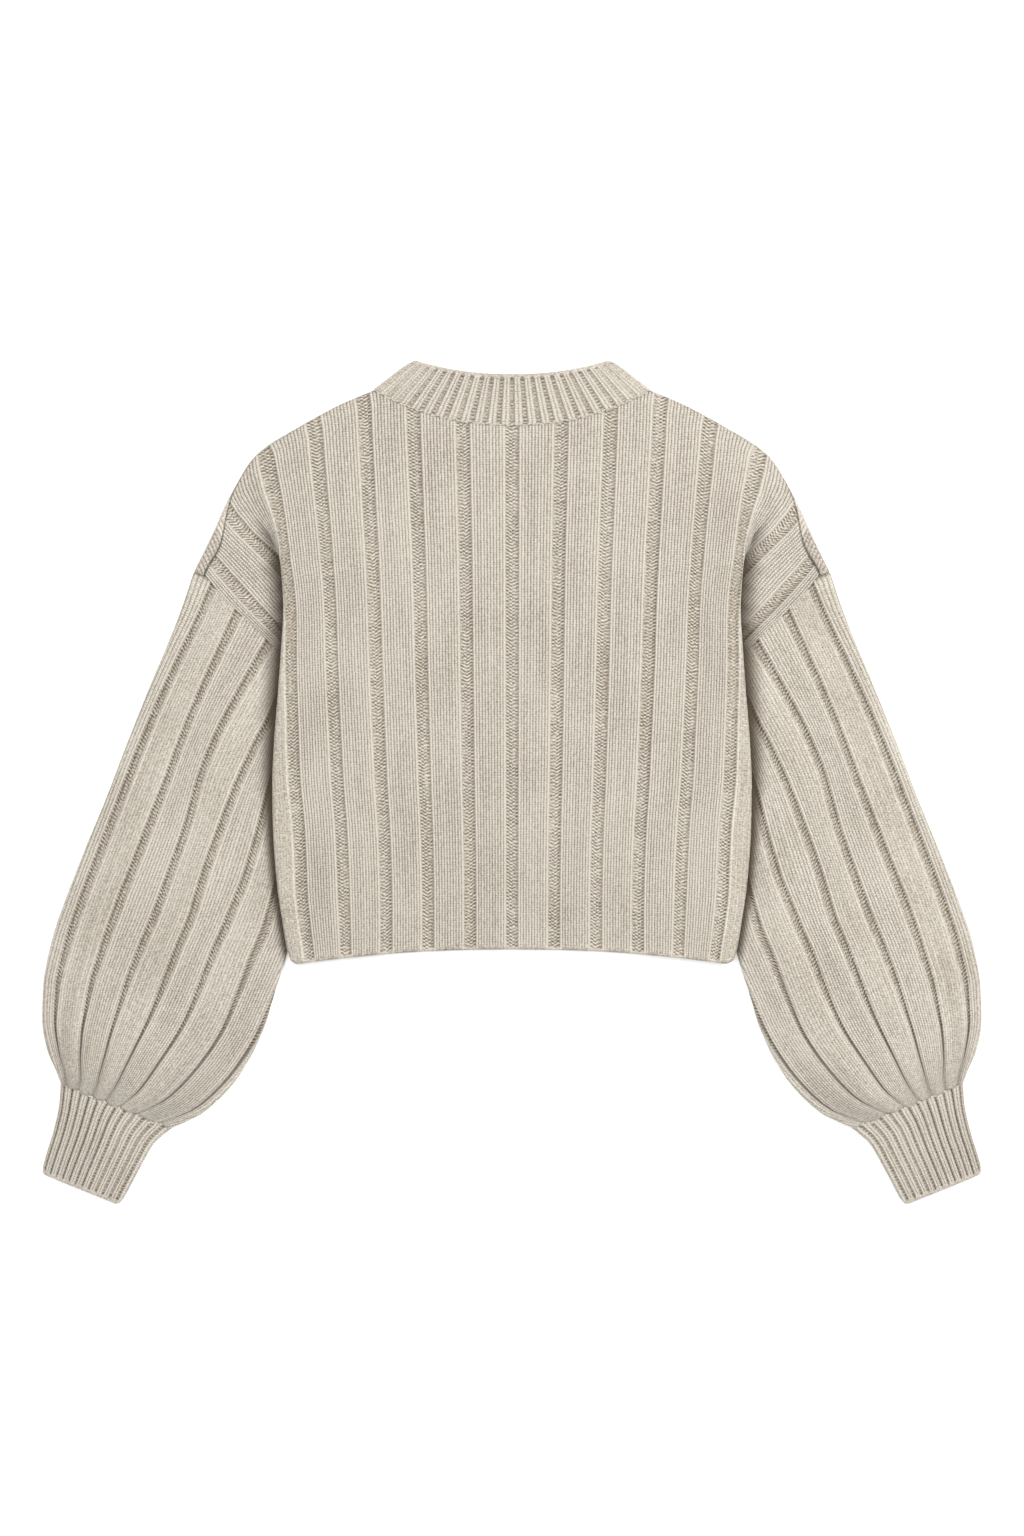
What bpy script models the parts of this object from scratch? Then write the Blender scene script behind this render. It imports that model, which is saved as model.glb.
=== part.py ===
"""A cropped knit sweater, laid flat on a surface with its back side up.

Frame: +X to the wearer's right, +Y towards the neck, +Z up, origin on the
ground under the middle of the garment. Sizes below are in millimetres.

Every piece of cloth is a wall of even thickness around a middle surface. The
middle surface is a net of points, worked out row by row from the tables of
sizes. The front lies on the ground and the back lies on it. At each side the
back is tucked under itself, because the sleeves are laid down along the body.
"""
import math
from collections import namedtuple

import bmesh
import bpy
import numpy as np

MM = 0.001

# Cloth
WALL = 3.0                          # thickness of the knit
AIR = 0.5                           # air between two layers that lie on each other
SEAM_GAP = 0.3                      # between pieces that are sewn edge to edge
LAYER = WALL + AIR                  # from the middle of one layer to the next
LOWER_Z = WALL / 2                  # middle of the layer that lies on the ground
UPPER_Z = LOWER_Z + LAYER           # middle of the layer that lies on that one
TURN_RADIUS = LAYER / 2             # where one layer turns over into the next
TURN_LENGTH = math.pi * TURN_RADIUS
TURN_STEPS = 4                      # flat facets in such a turn

# Body, half widths and heights measured from the centre line
SHOULDER_TIP_Y = 181.0
UNDERARM_Y = 62.0
NECK_HALF = 117.0
NECK_SIDE_Y = 335.0
BACK_NECK_Y = 308.0
FRONT_NECK_Y = 245.0
ROW_CURVE = 2.2                     # how late a row leaves its centre height
FRONT_NECK_CURVE = 2.6

BodyRow = namedtuple("BodyRow", "back_y front_y edge_y edge_x fold_x tuck fold_angle")
BODY_ROWS = (
    # the hem and up the side seam
    BodyRow(-143.0, -143.0, -154.0, 176.0, 182.5, 36.0, 180),
    BodyRow(-128.0, -128.0, -138.0, 183.0, 191.5, 34.5, 180),
    BodyRow(-110.0, -110.0, -117.0, 186.0, 195.5, 33.5, 180),
    BodyRow(-86.0, -86.0, -90.0, 186.0, 199.5, 34.0, 180),
    BodyRow(-38.0, -38.0, -38.0, 184.0, 203.5, 37.0, 180),
    BodyRow(0.0, 0.0, 0.0, 181.0, 204.0, 40.5, 180),
    BodyRow(35.0, 35.0, 35.0, 176.0, 202.5, 43.5, 180),
    # the armhole, from the underarm to the shoulder tip
    BodyRow(UNDERARM_Y, UNDERARM_Y, UNDERARM_Y, 172.0, 200.5, 44.0, 180),
    BodyRow(86.0, 86.0, 86.0, 181.0, 198.5, 42.0, 180),
    BodyRow(108.0, 108.0, 108.0, 198.0, 197.0, 35.0, 180),
    BodyRow(130.0, 130.0, 130.0, 220.0, 195.5, 28.0, 180),
    BodyRow(149.0, 149.0, 149.0, 240.0, 194.5, 22.0, 180),
    BodyRow(165.0, 165.0, 165.0, 257.0, 194.5, 16.0, 180),
    BodyRow(SHOULDER_TIP_Y, SHOULDER_TIP_Y, SHOULDER_TIP_Y, 274.0, 194.5, 9.0, 180),
    # the shoulder line, from its tip to the neck
    BodyRow(205.0, 192.0, 209.0, 258.0, 195.0, 1.5, 60),
    BodyRow(230.0, 203.0, 242.0, 242.5, 188.0, 1.5, 12),
    BodyRow(255.0, 214.0, 280.0, 220.0, 168.0, 1.5, 0),
    BodyRow(278.0, 225.0, 306.0, 181.0, 138.0, 1.5, 0),
    BodyRow(294.0, 236.0, 325.0, 145.0, 110.0, 1.5, 0),
    BodyRow(BACK_NECK_Y, FRONT_NECK_Y, NECK_SIDE_Y, NECK_HALF, 88.0, 1.5, 0),
)
UNDERARM_ROW = 7
TIP_ROW = 13

# Across the back, as shares of the distance to the fold
FLAT_SHARES = (0.0, 0.12, 0.24, 0.36, 0.46)
RAMP_SHARES = (0.52, 0.58, 0.64, 0.70)
TAIL_SHARES = (0.3, 0.65, 1.0)
FRONT_SHARES = tuple(step / 8 for step in range(9))

# Sleeve: lines across it, from its outer edge to its inner edge. Its upper layer
# puffs up, is tucked flat under the body, and is gathered into pleats at the cuff.
SleeveRing = namedtuple("SleeveRing", "outer_x outer_y inner_x inner_y puff tucked pleat")
SLEEVE_RINGS = (
    SleeveRing(274.5, 179.5, 174.5, 61.5, 0.0, 1.0, 0.0),
    SleeveRing(284.0, 150.0, 176.5, 50.0, 1.4, 1.0, 0.0),
    SleeveRing(297.0, 115.0, 178.0, 36.0, 2.4, 1.0, 0.0),
    SleeveRing(313.0, 73.0, 181.0, 16.0, 3.2, 1.0, 0.0),
    SleeveRing(332.0, 25.0, 184.5, -12.0, 3.4, 1.0, 0.0),
    SleeveRing(348.0, -17.0, 187.0, -46.0, 3.4, 1.0, 0.0),
    SleeveRing(365.0, -58.0, 189.0, -88.0, 3.4, 1.0, 0.0),
    SleeveRing(381.5, -100.0, 190.0, -124.0, 3.4, 0.9, 0.0),
    SleeveRing(394.0, -138.0, 194.5, -151.0, 3.4, 0.5, 0.0),
    SleeveRing(400.5, -173.0, 204.0, -184.0, 3.4, 0.2, 0.3),
    SleeveRing(401.5, -202.0, 217.0, -217.0, 3.2, 0.0, 1.0),
    SleeveRing(397.0, -228.0, 238.0, -254.0, 2.6, 0.0, 2.2),
    SleeveRing(389.5, -246.0, 268.0, -283.0, 1.0, 0.0, 1.8),
    SleeveRing(385.5, -257.0, 293.5, -294.5, 0.4, 0.0, 0.4),
)
ARMHOLE_FADE = (1.0, 0.6, 0.3, 0.1)  # how far the armhole's curve shows in the first rings
SLEEVE_SPLITS = 3                    # columns of the sleeve to each row of the armhole
PLEATS = 4
EDGE_PUFF = 0.45                     # puff at the sleeve's rounded edges, as a share
PUFF_RISE = 0.28                     # share of the width over which it rises to the full puff
TUCKED_SHARE = 0.74                  # share of the width that the body leaves free

# Cuff: lines across it, from the gathered sleeve to the wrist
CuffRing = namedtuple("CuffRing", "outer_x outer_y inner_x inner_y")
CUFF_RINGS = (
    CuffRing(385.8, -257.9, 293.8, -295.4),
    CuffRing(387.0, -275.0, 307.0, -308.0),
    CuffRing(391.5, -297.0, 317.0, -326.0),
    CuffRing(397.0, -315.0, 326.0, -343.0),
    CuffRing(403.0, -335.5, 338.0, -362.0),
)

# Neckband
NECKBAND_STEPS = 4
NECKBAND_TOP_HALF = 83.5
NECKBAND_CORNER_Y = 361.6
NECKBAND_BACK_TOP_Y = 351.0
NECKBAND_FRONT_TOP_Y = 290.0

OATMEAL = (0.60, 0.54, 0.46, 1.0)
KNIT_ROUGHNESS = 0.95


def smooth(share):
    """Ease from 0 to 1 with level ends."""
    share = min(max(share, 0.0), 1.0)
    return share * share * (3.0 - 2.0 * share)


def row_height(x, centre_y, edge_y, edge_x, curve):
    """Height of a curved row where it is x away from the centre line."""
    return centre_y + (edge_y - centre_y) * (x / edge_x) ** curve


def fold_outline(tuck, fold_angle):
    """The tuck as points (x, z) from its start: down round a turn, in, and out again."""
    angle = math.radians(fold_angle)
    turn_step = TURN_LENGTH / TURN_STEPS
    steps = [(turn_step, -angle / TURN_STEPS)] * TURN_STEPS
    steps += [(tuck, 0.0)]
    steps += [(turn_step, angle / TURN_STEPS)] * TURN_STEPS
    x = 0.0
    z = 0.0
    heading = 0.0
    outline = [(x, z)]
    for length, turn in steps:
        heading += turn / 2
        x += length * math.cos(heading)
        z += length * math.sin(heading)
        heading += turn / 2
        outline.append((x, z))
    return outline


def back_half(row):
    """The back's middle surface on one row, from the centre line to its seam."""
    fold = fold_outline(row.tuck, row.fold_angle)
    reach = max(x for x, z in fold)
    start_x = row.fold_x - reach
    lift = -fold[-1][1]
    section = [(row.fold_x * share, UPPER_Z) for share in FLAT_SHARES]
    ramp_width = RAMP_SHARES[-1] - FLAT_SHARES[-1]
    for share in RAMP_SHARES:
        climb = smooth((share - FLAT_SHARES[-1]) / ramp_width)
        section.append((row.fold_x * share, UPPER_Z + lift * climb))
    section += [(start_x + x, UPPER_Z + lift + z) for x, z in fold]
    tail_x = start_x + fold[-1][0]
    section += [(tail_x + (row.edge_x - tail_x) * share, UPPER_Z) for share in TAIL_SHARES]
    return [(x, row_height(x, row.back_y, row.edge_y, row.edge_x, ROW_CURVE), z)
            for x, z in section]


def front_half(row):
    """The front's middle surface on one row, from the centre line to its seam."""
    curve = FRONT_NECK_CURVE if row.edge_y > SHOULDER_TIP_Y else ROW_CURVE
    half = []
    for share in FRONT_SHARES:
        x = row.edge_x * share
        half.append((x, row_height(x, row.front_y, row.edge_y, row.edge_x, curve), LOWER_Z))
    return half


def both_halves(half):
    """A row across the whole garment from the half on +X, whose first point is central."""
    mirrored = [(-x, y, z) for x, y, z in reversed(half[1:])]
    return mirrored + list(half)


def armhole_rows():
    """The body's rows that end at the armhole, from the shoulder tip down."""
    return BODY_ROWS[UNDERARM_ROW:TIP_ROW + 1][::-1]


def armhole_shares():
    """Where those rows meet the armhole, as shares of its height."""
    height = SHOULDER_TIP_Y - UNDERARM_Y
    return [(SHOULDER_TIP_Y - row.edge_y) / height for row in armhole_rows()]


def armhole_bulges():
    """How far the armhole curves away from a straight line at each of those shares."""
    rows = armhole_rows()
    tip_x = rows[0].edge_x
    underarm_x = rows[-1].edge_x
    return [row.edge_x - tip_x - (underarm_x - tip_x) * share
            for row, share in zip(rows, armhole_shares())]


def split_evenly(values, splits):
    """The same values with more of them evenly in between."""
    places = np.linspace(0, len(values) - 1, (len(values) - 1) * splits + 1)
    return list(np.interp(places, range(len(values)), values))


def flattened_ring(outer, inner, shares, upper_heights, bulges):
    """A closed loop round a flattened tube: under it from inside out, and back over it."""
    outer = np.array(outer)
    across = np.array(inner) - outer
    width = np.linalg.norm(across)
    direction = across / width

    def place(share, bulge):
        return outer + across * share + np.array((bulge, 0.0))

    def turn(share, way, top_z):
        """Points round an edge of the tube, between its lower and its upper layer."""
        radius = (top_z - LOWER_Z) / 2
        points = []
        for step in range(1, TURN_STEPS):
            angle = math.pi * step / TURN_STEPS
            out = math.sin(angle) * radius
            x, y = place(share, 0.0) + direction * way * (out - radius)
            points.append((x, y, LOWER_Z + radius - math.cos(angle) * radius))
        return points

    def layer(share, bulge, height):
        """A point of a layer, kept inside the turns at its two edges."""
        radius = (height - LOWER_Z) / 2
        if share == 0.0:
            x, y = outer + direction * radius
        elif share == 1.0:
            x, y = outer + across - direction * radius
        else:
            x, y = place(share, bulge)
        return x, y

    loop = []
    for share, bulge, height in reversed(list(zip(shares, bulges, upper_heights))):
        loop.append((*layer(share, bulge, height), LOWER_Z))
    loop += turn(0.0, -1.0, upper_heights[0])
    for share, bulge, height in zip(shares, bulges, upper_heights):
        loop.append((*layer(share, bulge, height), height))
    loop += reversed(turn(1.0, 1.0, upper_heights[-1]))
    return loop


def sleeve_heights(shares, ring):
    """Height of the sleeve's upper layer: puffed, but flat where the body lies on it."""
    heights = []
    for share in shares:
        rise = EDGE_PUFF + (1.0 - EDGE_PUFF) * smooth(share / PUFF_RISE)
        open_fall = EDGE_PUFF + (1.0 - EDGE_PUFF) * smooth((1.0 - share) / PUFF_RISE)
        tucked_fall = smooth((TUCKED_SHARE - share) / PUFF_RISE)
        fall = ring.tucked * tucked_fall + (1.0 - ring.tucked) * open_fall
        pleat = ring.pleat * (0.5 - 0.5 * math.cos(2 * math.pi * PLEATS * share))
        heights.append(UPPER_Z + ring.puff * rise * fall + pleat)
    return heights


def wall(rows, closed):
    """Mesh of a wall of even thickness round a net of middle points, in metres."""
    middle = np.array(rows) * MM
    if closed:
        along = np.roll(middle, -1, axis=1) - np.roll(middle, 1, axis=1)
    else:
        along = np.gradient(middle, axis=1)
    normals = np.cross(along, np.gradient(middle, axis=0))
    normals /= np.linalg.norm(normals, axis=2, keepdims=True)
    sides = [middle + normals * (WALL * MM / 2), middle - normals * (WALL * MM / 2)]
    row_count, column_count = middle.shape[:2]
    mesh = bmesh.new()
    nets = [[[mesh.verts.new(point) for point in row] for row in side] for side in sides]

    def patch(corners):
        """Two triangles over four corners, because four corners need not be level."""
        a, b, c, d = corners
        mesh.faces.new((a, b, c))
        mesh.faces.new((a, c, d))

    top, bottom = nets
    last_column = column_count if closed else column_count - 1
    for row in range(row_count - 1):
        for column in range(last_column):
            following = (column + 1) % column_count
            patch((top[row][column], top[row][following],
                   top[row + 1][following], top[row + 1][column]))
            patch((bottom[row][column], bottom[row + 1][column],
                   bottom[row + 1][following], bottom[row][following]))
    for row in (0, row_count - 1):
        for column in range(last_column):
            following = (column + 1) % column_count
            patch((top[row][column], bottom[row][column],
                   bottom[row][following], top[row][following]))
    if not closed:
        for column in (0, column_count - 1):
            for row in range(row_count - 1):
                patch((top[row][column], top[row + 1][column],
                       bottom[row + 1][column], bottom[row][column]))
    bmesh.ops.recalc_face_normals(mesh, faces=mesh.faces)
    return mesh


def knit_material(name):
    """Matt oatmeal wool."""
    material = bpy.data.materials.new(name + "_knit")
    material.use_nodes = True
    shader = material.node_tree.nodes["Principled BSDF"]
    shader.inputs["Base Color"].default_value = OATMEAL
    shader.inputs["Roughness"].default_value = KNIT_ROUGHNESS
    shader.inputs["Metallic"].default_value = 0.0
    return material


def add_piece(name, rows, closed):
    """One sewn piece as an object of its own."""
    data = bpy.data.meshes.new(name)
    mesh = wall(rows, closed)
    mesh.to_mesh(data)
    mesh.free()
    data.materials.append(knit_material(name))
    piece = bpy.data.objects.new(name, data)
    bpy.context.scene.collection.objects.link(piece)
    return piece


def add_back():
    add_piece("back", [both_halves(back_half(row)) for row in BODY_ROWS], closed=False)


def add_front():
    add_piece("front", [both_halves(front_half(row)) for row in BODY_ROWS], closed=False)


def add_neckband():
    """The collar: its back half on the back's neck edge, its front half on the front's."""
    seam_back = [(x, y) for x, y, z in back_half(BODY_ROWS[-1])]
    seam_front = [(x, y) for x, y, z in front_half(BODY_ROWS[-1])]
    base_half = NECK_HALF - WALL / 2
    rings = []
    for step in range(NECKBAND_STEPS + 1):
        share = step / NECKBAND_STEPS
        half = base_half + (NECKBAND_TOP_HALF - base_half) * share
        lift = SEAM_GAP * (1.0 - share)

        def layer(seam, top_y, curve, z):
            points = []
            for x, y in seam:
                x_share = x / NECK_HALF
                top = top_y + (NECKBAND_CORNER_Y - top_y) * x_share ** curve
                points.append((x_share * (half - TURN_RADIUS), y + (top - y) * share + lift, z))
            return both_halves(points)

        upper = layer(seam_back, NECKBAND_BACK_TOP_Y, ROW_CURVE, UPPER_Z)
        lower = layer(seam_front, NECKBAND_FRONT_TOP_Y, FRONT_NECK_CURVE, LOWER_Z)
        turn = []
        for turn_step in range(1, TURN_STEPS):
            angle = math.pi * turn_step / TURN_STEPS
            turn.append((half - TURN_RADIUS + math.sin(angle) * TURN_RADIUS,
                         upper[-1][1],
                         UPPER_Z - TURN_RADIUS + math.cos(angle) * TURN_RADIUS))
        mirrored_turn = [(-x, y, z) for x, y, z in reversed(turn)]
        rings.append(upper + turn + list(reversed(lower)) + mirrored_turn)
    add_piece("neckband", rings, closed=True)


def add_arm(side_name, side):
    """A sleeve and its cuff, on one side of the body."""
    shares = split_evenly(armhole_shares(), SLEEVE_SPLITS)
    bulges = split_evenly(armhole_bulges(), SLEEVE_SPLITS)
    fades = list(ARMHOLE_FADE) + [0.0] * (len(SLEEVE_RINGS) - len(ARMHOLE_FADE))
    rings = []
    for ring, fade in zip(SLEEVE_RINGS, fades):
        loop = flattened_ring(
            (ring.outer_x, ring.outer_y), (ring.inner_x, ring.inner_y), shares,
            sleeve_heights(shares, ring), [bulge * fade for bulge in bulges])
        rings.append([(side * x, y, z) for x, y, z in loop])
    add_piece("sleeve_" + side_name, rings, closed=True)

    shares = armhole_shares()
    no_bulge = [0.0] * len(shares)
    cuff_heights = [UPPER_Z] * len(shares)
    rings = []
    for ring in CUFF_RINGS:
        loop = flattened_ring((ring.outer_x, ring.outer_y), (ring.inner_x, ring.inner_y),
                              shares, cuff_heights, no_bulge)
        rings.append([(side * x, y, z) for x, y, z in loop])
    add_piece("cuff_" + side_name, rings, closed=True)


def main():
    for old in list(bpy.data.objects):
        bpy.data.objects.remove(old, do_unlink=True)
    add_back()
    add_front()
    add_neckband()
    add_arm("left", -1.0)
    add_arm("right", 1.0)


main()
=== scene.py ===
"""The looks of the cropped knit sweater, laid flat with its back side up.

Sizes are in millimetres in the frame of the CAD model. Every knitted piece is a
thin closed shell round a middle surface. The columns of its mesh follow the
wales of the knit, four or six to a wale, so that wales, sunken purl columns and
ribs are real relief. Its UV map counts wales and courses, and the stitches are
drawn from that by the material.
"""

import math

import bpy
import numpy as np
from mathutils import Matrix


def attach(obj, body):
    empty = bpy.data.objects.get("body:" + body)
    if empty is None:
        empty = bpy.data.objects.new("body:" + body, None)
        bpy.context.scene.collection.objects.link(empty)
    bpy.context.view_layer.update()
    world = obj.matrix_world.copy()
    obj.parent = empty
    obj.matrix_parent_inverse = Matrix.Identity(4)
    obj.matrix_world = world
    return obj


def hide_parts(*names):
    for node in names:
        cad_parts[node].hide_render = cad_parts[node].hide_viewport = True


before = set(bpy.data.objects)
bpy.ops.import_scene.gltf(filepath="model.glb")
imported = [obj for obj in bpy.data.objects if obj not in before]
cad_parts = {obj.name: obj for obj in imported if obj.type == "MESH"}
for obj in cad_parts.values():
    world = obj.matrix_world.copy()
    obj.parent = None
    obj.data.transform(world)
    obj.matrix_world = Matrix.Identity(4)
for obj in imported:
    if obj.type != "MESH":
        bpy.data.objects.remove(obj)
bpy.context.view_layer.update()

MM = 0.001

# Cloth
HALF_WALL = 1.5                     # half the thickness of the knit
LOWER_Z = HALF_WALL                 # middle of the layer that lies on the ground
LAYER = 3.5                         # from the middle of one layer to the next
UPPER_Z = LOWER_Z + LAYER
TURN_LENGTH = math.pi * LAYER / 2   # where a layer turns over into the next
COURSE = 2.1                        # height of a row of stitches
WALE_STEPS = 4                      # mesh columns in a wale
EDGE_ROUND = 1.6                    # how far in from an edge its rounding reaches

# Ribs: wales in one repeat, and half the width of the purl column in wales
BODY_WALES, BODY_PURL = 15, 2.0
SLEEVE_WALES, SLEEVE_PURL = 12, 1.5
RIB_WALES, RIB_PURL = 3, 0.5
RIB_STEPS = 6                       # mesh columns in a wale of the neckband and cuffs

# Relief of the knit
WALE_DEPTH = 0.85
PURL_DEPTH = 1.4
SLEEVE_PURL_DEPTH = 0.9
BAND_CROWN = 0.35
PURL_EDGE = 0.7                     # over what part of a wale a band falls to the purl column
FURROW_SHARES = (0.9, 0.12)         # how deep and how dark with painted shade the furrow is on one side of the column and the other
FURROW_DEPTH = 0.35
HEM_BAND = 2.4                      # plain edge below the ribs

ROW_CURVE = 2.2                     # power with which a row bends away from its level
FRONT_NECK_CURVE = 2.6
FLAT_SHARE = 0.465                  # of the way to the tuck, before the back ramps up
RAMP_SHARE = 0.24                   # of the way to the tuck, over which it climbs
UNDERARM_ROW = 7
TIP_ROW = 13                        # where the shoulder line starts
SEAM_RIBS = 0.4                     # rib repeats between the outermost purl column and the seam

# Body, row by row from the hem to the neck. A row of the back starts at level on the
# centre line, one of the front at front_y, and both end on the seam at edge_x, edge_y.
# The back turns under at start_x by an angle in degrees, and its tuck is tuck deep.
# end_rib counts the rib repeats out to the seam. The last four are the width of a
# repeat beside the seam, on the flap and on the back, and how the outer ones spread.
HEM_CORNER = 8.0                    # radius of the hem's corners
HEM_CORNER_REACH = 12.0             # how far up from the hem they reach
BODY_COLUMNS = ("level", "front_y", "edge_y", "edge_x", "start_x", "tuck", "angle",
                "end_rib", "seam_rib", "flap_rib", "rib", "spread")
BODY_ROWS = (
    (-143.0, -143.0, -154.0, 176.0, 186.6, 36.0, 180, 7.40, 36.0, 36.0, 36.0, -1.7),
    (-128.0, -128.0, -138.0, 183.0, 190.4, 34.5, 180, 7.40, 36.0, 36.0, 36.0, -1.2),
    (-110.0, -110.0, -117.0, 186.0, 193.8, 33.5, 180, 7.40, 36.0, 36.0, 36.0, -0.5),
    (-86.0, -86.0, -90.0, 186.0, 197.8, 34.0, 180, 7.40, 37.0, 37.0, 36.1, 0.0),
    (-38.0, -38.0, -38.0, 184.0, 201.8, 37.0, 180, 7.40, 38.0, 38.0, 36.7, -0.2),
    (0.0, 0.0, 0.0, 181.0, 202.3, 40.5, 180, 7.40, 38.0, 38.0, 37.5, -0.3),
    (35.0, 35.0, 35.0, 176.0, 200.8, 43.5, 180, 7.40, 38.0, 38.0, 38.0, -0.6),
    (62.0, 62.0, 62.0, 172.0, 198.8, 44.0, 180, 7.40, 38.0, 42.0, 38.4, -0.9),
    (86.0, 86.0, 86.0, 181.0, 196.8, 42.0, 180, 7.40, 37.0, 46.0, 38.7, -1.1),
    (108.0, 108.0, 108.0, 196.5, 195.3, 35.0, 180, 7.40, 38.0, 50.0, 39.0, -1.4),
    (130.0, 130.0, 130.0, 218.0, 193.8, 28.0, 180, 7.40, 41.0, 52.0, 39.2, -1.7),
    (149.0, 149.0, 149.0, 238.0, 192.8, 22.0, 180, 7.40, 45.0, 53.0, 39.4, -1.9),
    (165.0, 165.0, 165.0, 253.0, 193.4, 16.0, 180, 7.40, 46.0, 54.0, 39.6, -1.8),
    (181.0, 181.0, 179.0, 264.0, 194.6, 9.0, 180, 7.40, 40.0, 55.0, 39.8, -1.5),
    (205.0, 192.0, 205.0, 250.5, 196.2, 1.5, 60, 6.58, 54.0, 55.0, 40.2, -1.1),
    (230.0, 203.0, 242.0, 242.3, 203.0, 1.5, 12, 5.85, 51.0, 51.0, 40.8, -0.6),
    (255.0, 214.0, 280.3, 220.8, 205.0, 1.5, 0, 5.20, 46.0, 46.0, 41.3, 0.8),
    (278.0, 225.0, 306.5, 181.4, 166.5, 1.5, 0, 4.25, 45.0, 45.0, 41.8, 1.6),
    (294.0, 236.0, 325.8, 145.5, 131.0, 1.5, 0, 3.41, 44.0, 44.0, 42.2, 2.0),
    (308.0, 245.0, 337.2, 118.3, 105.0, 1.5, 0, 2.76, 42.0, 42.0, 42.4, 2.0),
)
BACK_SIDE_RIBS = 7.4                # rib repeats from the back's centre to its side seam
FRONT_RIB = 37.5
FRONT_SIDE_RIBS = 4.8               # rib repeats from the front's centre to its side seam

# Shoulder line, from its tip to the neck: one place for each row from TIP_ROW on.
# The front turns over it onto the back, up to the back's seam.
SHOULDER = (
    (273.3, 181.0),
    (259.2, 209.5),
    (244.0, 243.0),
    (221.5, 281.2),
    (182.0, 307.5),
    (146.0, 326.8),
    (118.5, 338.0),
)
LIP_ENDS = 5.75                     # rib of the back where the turned edge dips below the back
NECK_RIB_END = 2.76                 # rib of the back at the corner of the neck
FRONT_INSET = 5.9                   # from the shoulder line to the front panel's edge
SEAM_GAP = 0.3
SEAM_REACH = 2.2                    # how far a tube's seam edge reaches under its neighbour
SEAM_DROP = 1.3                     # how far it dips there
SEAM_DIP = 2.2                      # and over what length
ROPE_PITCH = 4.4                    # of the strands where the front's edge shows widest

# Sleeve: lines across it from the outer edge to the inner edge, the height of its
# puff, how far its inner side is tucked flat under the body, how far its bands
# swell between the purl columns, half the width of those in wales, and where they
# cross the line, as shares of it that go on past 1 under the sleeve
SLEEVE_COLUMNS = ("outer_x", "outer_y", "inner_x", "inner_y", "puff", "tucked", "swell", "purl",
                  "rib0", "rib1", "rib2", "rib3", "rib4", "rib5", "rib6")
SLEEVE_RINGS = (
    (273.2, 179.5, 174.5, 61.5, 0.2, 1.0, 0.0, 1.3, 0.090, 0.280, 0.500, 0.710, 0.900, 1.10, 1.30),
    (282.4, 150.0, 176.5, 50.0, 2.2, 1.0, 0.0, 1.2, 0.093, 0.283, 0.500, 0.720, 0.905, 1.11, 1.31),
    (296.0, 115.0, 178.0, 36.0, 4.0, 1.0, 0.2, 1.1, 0.090, 0.285, 0.490, 0.720, 0.905, 1.10, 1.30),
    (313.0, 73.0, 181.0, 16.0, 5.2, 1.0, 0.3, 1.1, 0.086, 0.286, 0.470, 0.695, 0.870, 1.07, 1.26),
    (332.0, 25.0, 184.5, -12.0, 6.0, 1.0, 0.4, 1.1, 0.083, 0.285, 0.453, 0.660, 0.840, 1.02, 1.20),
    (348.0, -17.0, 187.0, -46.0, 6.4, 1.0, 0.4, 1.2, 0.079, 0.270, 0.450, 0.620, 0.815, 0.98, 1.15),
    (365.0, -58.0, 189.0, -88.0, 6.6, 1.0, 0.5, 1.2, 0.079, 0.255, 0.430, 0.583, 0.775, 0.93, 1.09),
    (381.5, -100.0, 190.0, -124.0, 6.6, 0.9, 0.7, 1.2, 0.077, 0.238, 0.408, 0.562, 0.722, 0.89, 1.05),
    (394.0, -138.0, 196.0, -151.0, 6.6, 0.5, 1.0, 1.1, 0.075, 0.230, 0.387, 0.540, 0.695, 0.865, 1.03),
    (400.5, -173.0, 205.5, -184.0, 6.4, 0.2, 1.6, 0.9, 0.067, 0.211, 0.360, 0.514, 0.672, 0.845, 1.00),
    (401.5, -202.0, 217.0, -217.0, 5.8, 0.0, 2.6, 0.6, 0.063, 0.194, 0.331, 0.475, 0.635, 0.820, 0.98),
    (397.0, -228.0, 238.0, -254.0, 4.6, 0.0, 3.8, 0.3, 0.062, 0.178, 0.303, 0.428, 0.578, 0.772, 0.955),
    (389.5, -246.0, 268.0, -283.0, 2.4, 0.0, 4.4, 0.2, 0.055, 0.168, 0.286, 0.405, 0.550, 0.733, 0.935),
    (385.5, -257.0, 293.5, -294.5, 0.6, 0.0, 3.6, 0.2, 0.050, 0.160, 0.285, 0.400, 0.530, 0.690, 0.900),
)
# How much each of its bands has matted smooth, from the outer edge on and back under
SLEEVE_MATTED = (0.2, 0.55, 0.25, 0.45, 0.25, 0.4, 0.15, 0.3, 0.45, 0.25, 0.4, 0.3)
SLEEVE_REPEATS = 12                 # rib repeats all round
# How far the armhole's seam lies off a straight line, at some shares of the way along it
ARMHOLE_SHARES = (0.0, 0.05, 0.134, 0.269, 0.429, 0.613, 0.798, 1.0)
ARMHOLE_BULGES = (-1.0, -8.6, -9.0, -10.7, -14.5, -17.0, -14.0, -2.5)
ARMHOLE_FADE = (1.0, 0.6, 0.3, 0.1, 0.0)    # of those bulges, from ring to ring
TUCKED_SHARE = 0.74                 # of the way across, where a tucked sleeve is pressed flat
GATHER_REACH = 14.0                 # of the scallops where the bands bulge over the cuff
GATHER_SCALLOP = 3.6
PUFF_RISE = 0.28                    # share of the width over which the puff rises
SLEEVE_WALE = 2.6                   # width of a wale that isn't squeezed
EDGE_PUFF = 0.45                    # share of the puff that the edges have

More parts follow.
